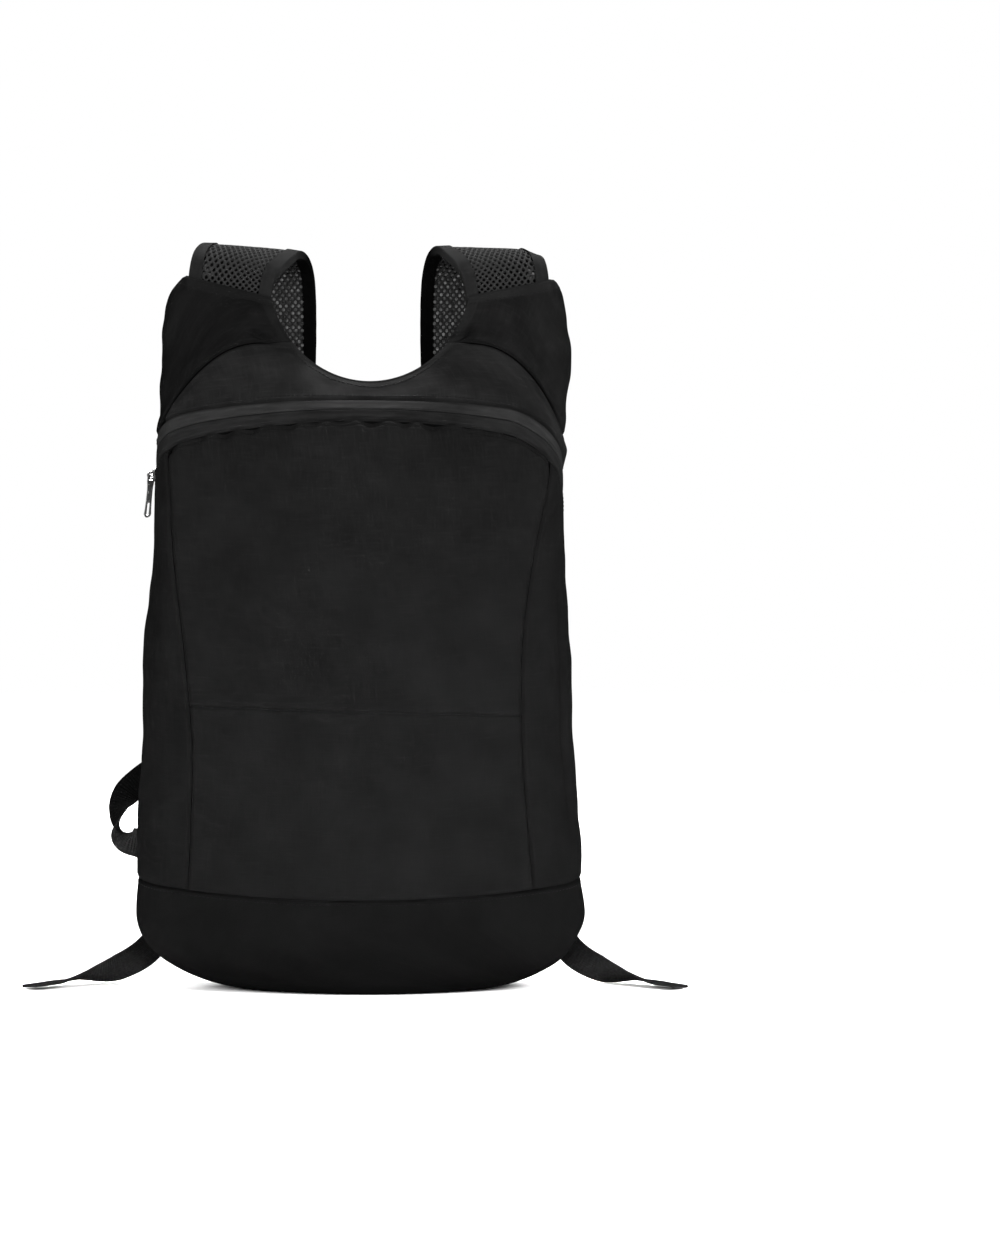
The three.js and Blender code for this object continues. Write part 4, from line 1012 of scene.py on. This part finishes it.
def strap_binding(name, ribbon, strap, sign):
    outline = binding_outline(sign)
    run = np.linspace(0, ribbon.length, 261)
    edge = np.interp(run, ribbon.run, ribbon.edge)
    pull = 0.00018 * ripple(run, 0, 0.012, 71)
    w = sign * (edge + pull)[:, None] + outline[None, :, 0]
    points = on_strap(ribbon, strap, w, np.broadcast_to(run[:, None], w.shape), outline[None, :, 1])
    cut = np.stack(np.broadcast_arrays(run_along(outline)[None], run[:, None], 0.0), -1)
    faces = swept_faces(*w.shape)
    piece = add_piece(name + "_tape", points.reshape(-1, 3), faces, binding, cut.reshape(-1, 3))
    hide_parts(name)


SIDES = (("left", -1), ("right", 1))
straps = {name: strap_ribbon(side) for name, side in SIDES}
for name, side in SIDES:
    ribbon = straps[name]
    cells, faces = strap_cells(ribbon)
    layer, layer_faces = strap_yarns(ribbon)
    knitted = len(faces)
    faces += (np.array(layer_faces) + len(cells)).tolist()
    flat = np.concatenate([cells, layer])
    points = on_strap(ribbon, name, *flat.T)
    strap = add_piece(f"strap_{name}_pad", points, faces, pad, flat * (1, 1, 0), crisp=75)
    strap.data.materials.append(yarns)
    for face in strap.data.polygons[knitted:]:
        face.material_index = 1
    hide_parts(f"shoulder_strap_{name}")
    for edge, sign in (("inner", -side), ("outer", side)):
        strap_binding(f"strap_binding_{name}_{edge}", ribbon, name, sign)

# Webbing
# Flat ribbed webbing, sewn to the base at the back corner. It runs up through the adjuster and
# round its bar, and the loose tail comes down past the base to lie on the floor, its end turned over.
WEB_WIDE, WEB_THICK = 0.020, 0.0014
WEB_ACROSS = np.array([-0.5, -0.46, -0.25, 0, 0.25, 0.46, 0.5])  # places across its section
WEB_THIN = np.array([0.35, 0.85, 1, 1, 1, 0.85, 0.35])  # and the share of its thickness there
WEB_RIB, WEB_RIB_HIGH = 0.0019, 0.0002
WEB_THREAD = 0.0016
WEB_HEM, WEB_HEM_STEP = 0.026, 0.0012  # length of the turned end, and of the slope where it starts
WEB_TURN, LEG = 0.00285, 0.006  # radius of the turn round the adjuster's bar, and straight length beside it
LOCK_TALL, LOCK_BAR, LOCK_GAP = 0.024, 0.0026, 0.0003  # the adjuster's length, its bar and the gaps at it
ANCHOR_GIRTH, ANCHOR_Z = 1.335, 0.056  # where the webbing is sewn to the base
LEFT_LOOP = np.array([  # place of the middle line, then the direction across
    (-0.1210, 0.0680, 0.1660, 0.90, 0.05, -0.35),
    (-0.1390, 0.0620, 0.1510, 0.70, 0.00, -0.70),
    (-0.1540, 0.0560, 0.1405, 0.50, -0.10, -0.85),
    (-0.1645, 0.0510, 0.1310, 0.60, -0.35, -0.70),
    (-0.1700, 0.0440, 0.1190, 0.45, -0.80, -0.35),
    (-0.1690, 0.0365, 0.1060, 0.12, -0.90, -0.45),
    (-0.1635, 0.0330, 0.0990, -0.05, -0.45, -0.88),
    (-0.1530, 0.0355, 0.0955, -0.12, -0.05, -0.98),
    (-0.1340, 0.0430, 0.0800, -0.60, 0.05, -0.80),
])
RIGHT_RUN = np.array([
    (0.119, 0.066, 0.160, 0.98, 0.00, 0.15),
    (0.122, 0.056, 0.120, 0.99, -0.05, 0.10),
    (0.120, 0.047, 0.084, 0.99, -0.08, 0.00),
])
TAIL = np.array([  # of the left one
    (-0.119, 0.077, 0.1600, 1.00, 0.00, 0.10),
    (-0.124, 0.072, 0.1150, 0.97, 0.05, -0.10),
    (-0.130, 0.060, 0.0690, 0.87, 0.25, -0.35),
    (-0.138, 0.042, 0.0385, 0.74, 0.25, -0.62),
    (-0.149, 0.028, 0.0220, 0.62, 0.10, -0.78),
    (-0.169, 0.019, 0.0110, 0.35, 0.42, -0.84),
    (-0.192, 0.009, 0.0070, -0.40, 0.80, -0.40),
    (-0.209, -0.004, 0.0034, -0.56, 0.82, -0.08),
    (-0.226, -0.017, 0.0023, -0.50, 0.86, -0.10),
])
TAIL_LEAVES = 0.149  # how far out the tails come from behind the bag
RIGHT_TAIL = 0.91  # length of the right one's loose end, compared with the left one's
RIGHT_LIFT = 0.94  # and its height
SHADE_BELOW, SHADE_BESIDE = (0.060, 0.045), (0.045, 0.006)  # heights, and distances from the base
CREASE_SHADOW = (0.0035, 0.0015)
PALER_ENDS = (0.185, 0.200)  # distances out over which the reverse turns paler towards the ends

# The face of the weave has faded. The reverse is near black, which stands in for the shade on the loop's
# inner side.
# Beside the base the band carries painted shade, and a painted black shadow where it meets the base.
web, shader, cut = cloth_finish("ribbed_webbing")
face = cut.axis("Z")
threads = cut.threads("X", WEB_THREAD)
wear = cut.stretched(620, 520).noise()
tone = (wear - 0.5) * 2.4 + threads * 0.15 + 0.5
reverse_shade_tone = tone.blend(grey(0.0013), grey(0.0028))
face_tone = tone.blend(grey(0.0084), grey(0.0200))
# Below zero the colour runs to the painted black shadow against the base.
colour = (0.0 - face).ramp(0, 1).blend(face.blend(reverse_shade_tone, face_tone), grey(0.0002))
relief = threads * 0.00006 + wear * 0.0001
feed(shader, Base_Color=colour, Roughness=0.6 + (wear - 0.5) * 0.25, Normal=relief.bump(0.6))


def outward_at(girth, z):
    """The direction straight out of the form."""
    along = body_point(girth + 0.01, z) - body_point(girth - 0.01, z)
    return unit(np.cross(along, body_point(girth, z + 0.001) - body_point(girth, z - 0.001)))


def webbing_route(side, ribbon):
    """Stations of the webbing from its anchor to the end of the tail, with directions across."""
    across, normal = ribbon.across[-1], ribbon.normal[-1]
    along = np.cross(normal, across)
    bar = ribbon.origin[-1] + along * (LOCK_GAP + LOCK_TALL - LOCK_BAR / 2)
    legs = [bar + normal * sign * WEB_TURN + along * LEG for sign in (-1, 1)]
    turn = [
        bar + normal * WEB_TURN * math.cos(t) + along * WEB_TURN * math.sin(t)
        for t in np.radians([-180, -135, -90, -45, 0])
    ]
    rise = LEFT_LOOP if side < 0 else RIGHT_RUN
    anchor = side * ANCHOR_GIRTH, ANCHOR_Z
    sewn = body_point(*anchor) + outward_at(*anchor) * (WEB_THICK / 2 + LOCK_GAP)
    sewn_across = -side * unit(np.cross(outward_at(*anchor), sewn - rise[-1, :3]))
    out = -TAIL[:, 0]
    tail = np.column_stack([side * out, TAIL[:, 1:3]])
    if side > 0:
        tail[:, 0] = np.minimum(out, TAIL_LEAVES) + np.maximum(out - TAIL_LEAVES, 0) * RIGHT_TAIL
        tail[out >= TAIL_LEAVES, 2] *= RIGHT_LIFT
    tail_across = TAIL[:, 3:] * (1, -side, -side)
    places = [sewn, *rise[::-1, :3], legs[0], *turn, legs[1], *tail]
    sides = [sewn_across, *rise[::-1, 3:], *[across] * 7, *tail_across]
    return np.array(places), np.array(sides)


def webbing(name, side, ribbon):
    stations, across = webbing_route(side, ribbon)
    band = Ribbon(stations, across, int(5 * run_along(stations)[-1] / WEB_RIB))
    run = band.run[:, None]
    hem = band.length - WEB_HEM
    turned = 0.6 * WEB_THICK * ease(hem, hem + WEB_HEM_STEP, run)
    rib = WEB_RIB_HIGH * np.cos(2 * np.pi * run / WEB_RIB)
    low, high = -WEB_THICK / 2 - rib, WEB_THICK / 2 + rib
    if band.normal[-1, 2] > 0:
        high = high + turned
    else:
        low = low - turned
    middle = (low + high) / 2
    under, over = (middle + (surface - middle) * WEB_THIN for surface in (low, high))
    up = np.concatenate([under, over[:, ::-1]], 1)
    wide, run = np.broadcast_arrays(WEB_WIDE * np.concatenate([WEB_ACROSS, WEB_ACROSS[::-1]])[None], run)
    points = band.at(wide, run, up)
    points[..., 2] = np.maximum(points[..., 2], 0.0001)
    out, height = np.abs(points[..., 0]), points[..., 2]
    low_down = np.clip(height / BASE_ROUND, 0, 1)
    beside = out - FLAT_HALF - (BODY[0, HALF] - FLAT_HALF) * np.sqrt(1 - (1 - low_down) ** 2)
    # Painted shade low down beside the base, and a painted black shadow where the band meets it, kept as
    # negative values.
    lowest = ease(*SHADE_BELOW, height)
    shade_by_base = lowest * (0.45 + 0.40 * ease(*SHADE_BESIDE, beside))
    face = np.repeat([1.0, 0.0], len(WEB_ACROSS))[None] * (1 - shade_by_base)
    face = np.maximum(face, 0.22 * ease(*PALER_ENDS, out))
    crease_shadow = lowest * ease(*CREASE_SHADOW, beside)
    face = face * (1 - crease_shadow) - crease_shadow
    cut = np.stack([wide, run, face], -1)
    faces = swept_faces(*up.shape)
    piece = add_piece(name + "_band", points.reshape(-1, 3), faces, web, cut.reshape(-1, 3))
    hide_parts(name)


for name, side in SIDES:
    webbing(f"webbing_{name}", side, straps[name])

# Strap adjusters
# Moulded plastic plates, one slot each, sewn to the lower ends of the straps.
# The webbing goes through the slot and back round the bar below it.


def solid_grain(tree, fine, detail=2.0):
    """Random cloud values through a solid piece, with so many clouds to the metre."""
    place = tree.node("ShaderNodeTexCoord", out="Object")
    return place.stretched(fine, fine, fine).noise(detail)


plastic, shader, tree = new_finish("moulded_plastic", Specular_IOR_Level=0.2)
grain = solid_grain(tree, 2500)
colour = grain.blend(grey(0.004), grey(0.007))
feed(shader, Base_Color=colour, Roughness=0.42 + (grain - 0.5) * 0.25, Normal=grain.bump(0.25, 0.0001))


def rounded_copy(node, finish, body, bevel):
    """A copy of a hard piece with its edges rounded."""
    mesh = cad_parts[node].data.copy()
    mesh.materials.clear()
    mesh.materials.append(finish)
    piece = new_object(node + "_rounded", mesh)
    rounding = piece.modifiers.new("rounded", "BEVEL")
    rounding.width = bevel
    rounding.segments = 3
    rounding.limit_method = "ANGLE"
    rounding.angle_limit = math.radians(40)
    rounding.harden_normals = True
    mesh.shade_smooth()
    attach(piece, body)
    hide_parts(node)


for name, _ in SIDES:
    rounded_copy(f"ladder_lock_{name}", plastic, "bag", bevel=0.0006)

# Zip slider and pull
# Die-cast metal, painted black: a slider on the tapes with a bridge, and a slim tab that swings on it.
# The paint is rubbed through to bright metal along the edges.


def metal_finish(name, worn_from, worn_to):
    material, shader, tree = new_finish(name, Metallic=0.7)
    rub = solid_grain(tree, 1400, 3.0)
    worn = tree.node("ShaderNodeNewGeometry", out="Pointiness").ramp(worn_from, worn_to)
    colour = (worn * (rub * 0.9 + 0.2)).blend(grey(0.013), grey(0.30))
    feed(shader, Base_Color=colour, Roughness=0.36 + (rub - 0.5) * 0.3, Normal=rub.bump(0.15, 0.0001))
    return material


rounded_copy("zip_slider", metal_finish("slider_metal", 0.60, 0.75), "bag", bevel=0.00035)
rounded_copy("zip_pull", metal_finish("pull_metal", 0.52, 0.62), "pull", bevel=0.00030)

# Stitching
# Lockstitch in black thread along the seams and hems: short round stitches that sink at both ends.
STITCH, STITCH_LONG = 0.0030, 0.0022  # from one stitch to the next, and its length
STITCH_RADIUS = 0.00024

thread, shader, tree = new_finish("sewing_thread", Specular_IOR_Level=0.02, Roughness=0.5)
feed(shader, Base_Color=solid_grain(tree, 800).blend(grey(0.0018), grey(0.0036)))


def stitch_row(line):
    """Points of a row of stitches along a line: a tip, two rings of six and a tip for each."""
    run = run_along(line)
    start = np.arange(0.5 * STITCH, run[-1] - STITCH, STITCH)
    first, last = (along_line(line, run, at) for at in (start, start + STITCH_LONG))
    along = unit(last - first)
    over = unit(np.cross(along, (0.31, 0.83, 0.47)))
    turn = np.arange(6) * np.pi / 3
    ring = over[:, None] * np.cos(turn)[:, None] + np.cross(along, over)[:, None] * np.sin(turn)[:, None]
    ring = ring * STITCH_RADIUS
    inset = along[:, None] * 0.2 * STITCH_LONG
    rings = [first[:, None], first[:, None] + inset + ring, last[:, None] - inset + ring, last[:, None]]
    return np.concatenate(rings, 1).reshape(-1, 3)


points = np.concatenate([stitch_row(line) for line in stitch_rows])
one = []
for k in range(6):
    n = (k + 1) % 6
    one += [[0, 1 + n, 1 + k], [1 + k, 1 + n, 7 + n, 7 + k], [7 + k, 7 + n, 13]]
faces = [[14 * i + corner for corner in face] for i in range(len(points) // 14) for face in one]
add_piece("stitching", points, faces, thread, crisp=80)

# Studio
# A white floor that runs into a white surround. Two soft lights stand in front, the right one stronger,
# one stands behind, and a narrow one hangs over the shoulders.
FLOOR = 8.0
floor_mesh = bpy.data.meshes.new("floor")
corners = [(-FLOOR, -FLOOR, 0), (FLOOR, -FLOOR, 0), (FLOOR, FLOOR, 0), (-FLOOR, FLOOR, 0)]
floor_mesh.from_pydata(corners, [], [(0, 1, 2, 3)])
floor = new_object("floor", floor_mesh)
paper, _, _ = new_finish("white_paper", Base_Color=grey(1), Roughness=1.0, Specular_IOR_Level=0.0)
floor_mesh.materials.append(paper)

world = bpy.data.worlds.new("surround")
world.use_nodes = True
world.node_tree.nodes["Background"].inputs["Color"].default_value = grey(1)
world.node_tree.nodes["Background"].inputs["Strength"].default_value = 1.0
bpy.context.scene.world = world


def softbox(name, place, target, wide, tall, power, spread=180):
    """A soft light that looks at a place. A small spread narrows its beam."""
    light = bpy.data.lights.new(name, "AREA")
    light.shape = "RECTANGLE"
    light.size = wide
    light.size_y = tall
    light.energy = power
    light.spread = math.radians(spread)
    lamp = new_object(name, light)
    lamp.location = place
    lamp.rotation_euler = (Vector(target) - Vector(place)).to_track_quat("-Z", "Y").to_euler()


softbox("front_right", (1.35, -1.5, 1.1), (0, 0, 0.25), 0.8, 0.8, 90)
softbox("front_left", (-1.35, -1.5, 0.9), (0, 0, 0.25), 0.8, 0.8, 50)
softbox("back_light", (-0.5, 2.1, 1.0), (0, 0.05, 0.3), 0.8, 0.8, 60)
softbox("hair_light", (0, 0.55, 1.5), (0, 0.02, 0.42), 0.42, 0.35, 4.7, spread=14)

camera = new_object("camera", bpy.data.cameras.new("camera"))
camera.data.lens = 83.5
camera.data.sensor_width = 36
camera.data.shift_x = 0.112
camera.data.shift_y = -0.004
camera.location = (0, -2.0, 0.253)
camera.rotation_euler = (math.radians(90), 0, 0)
bpy.context.scene.camera = camera
bpy.context.scene.view_settings.view_transform = "Standard"
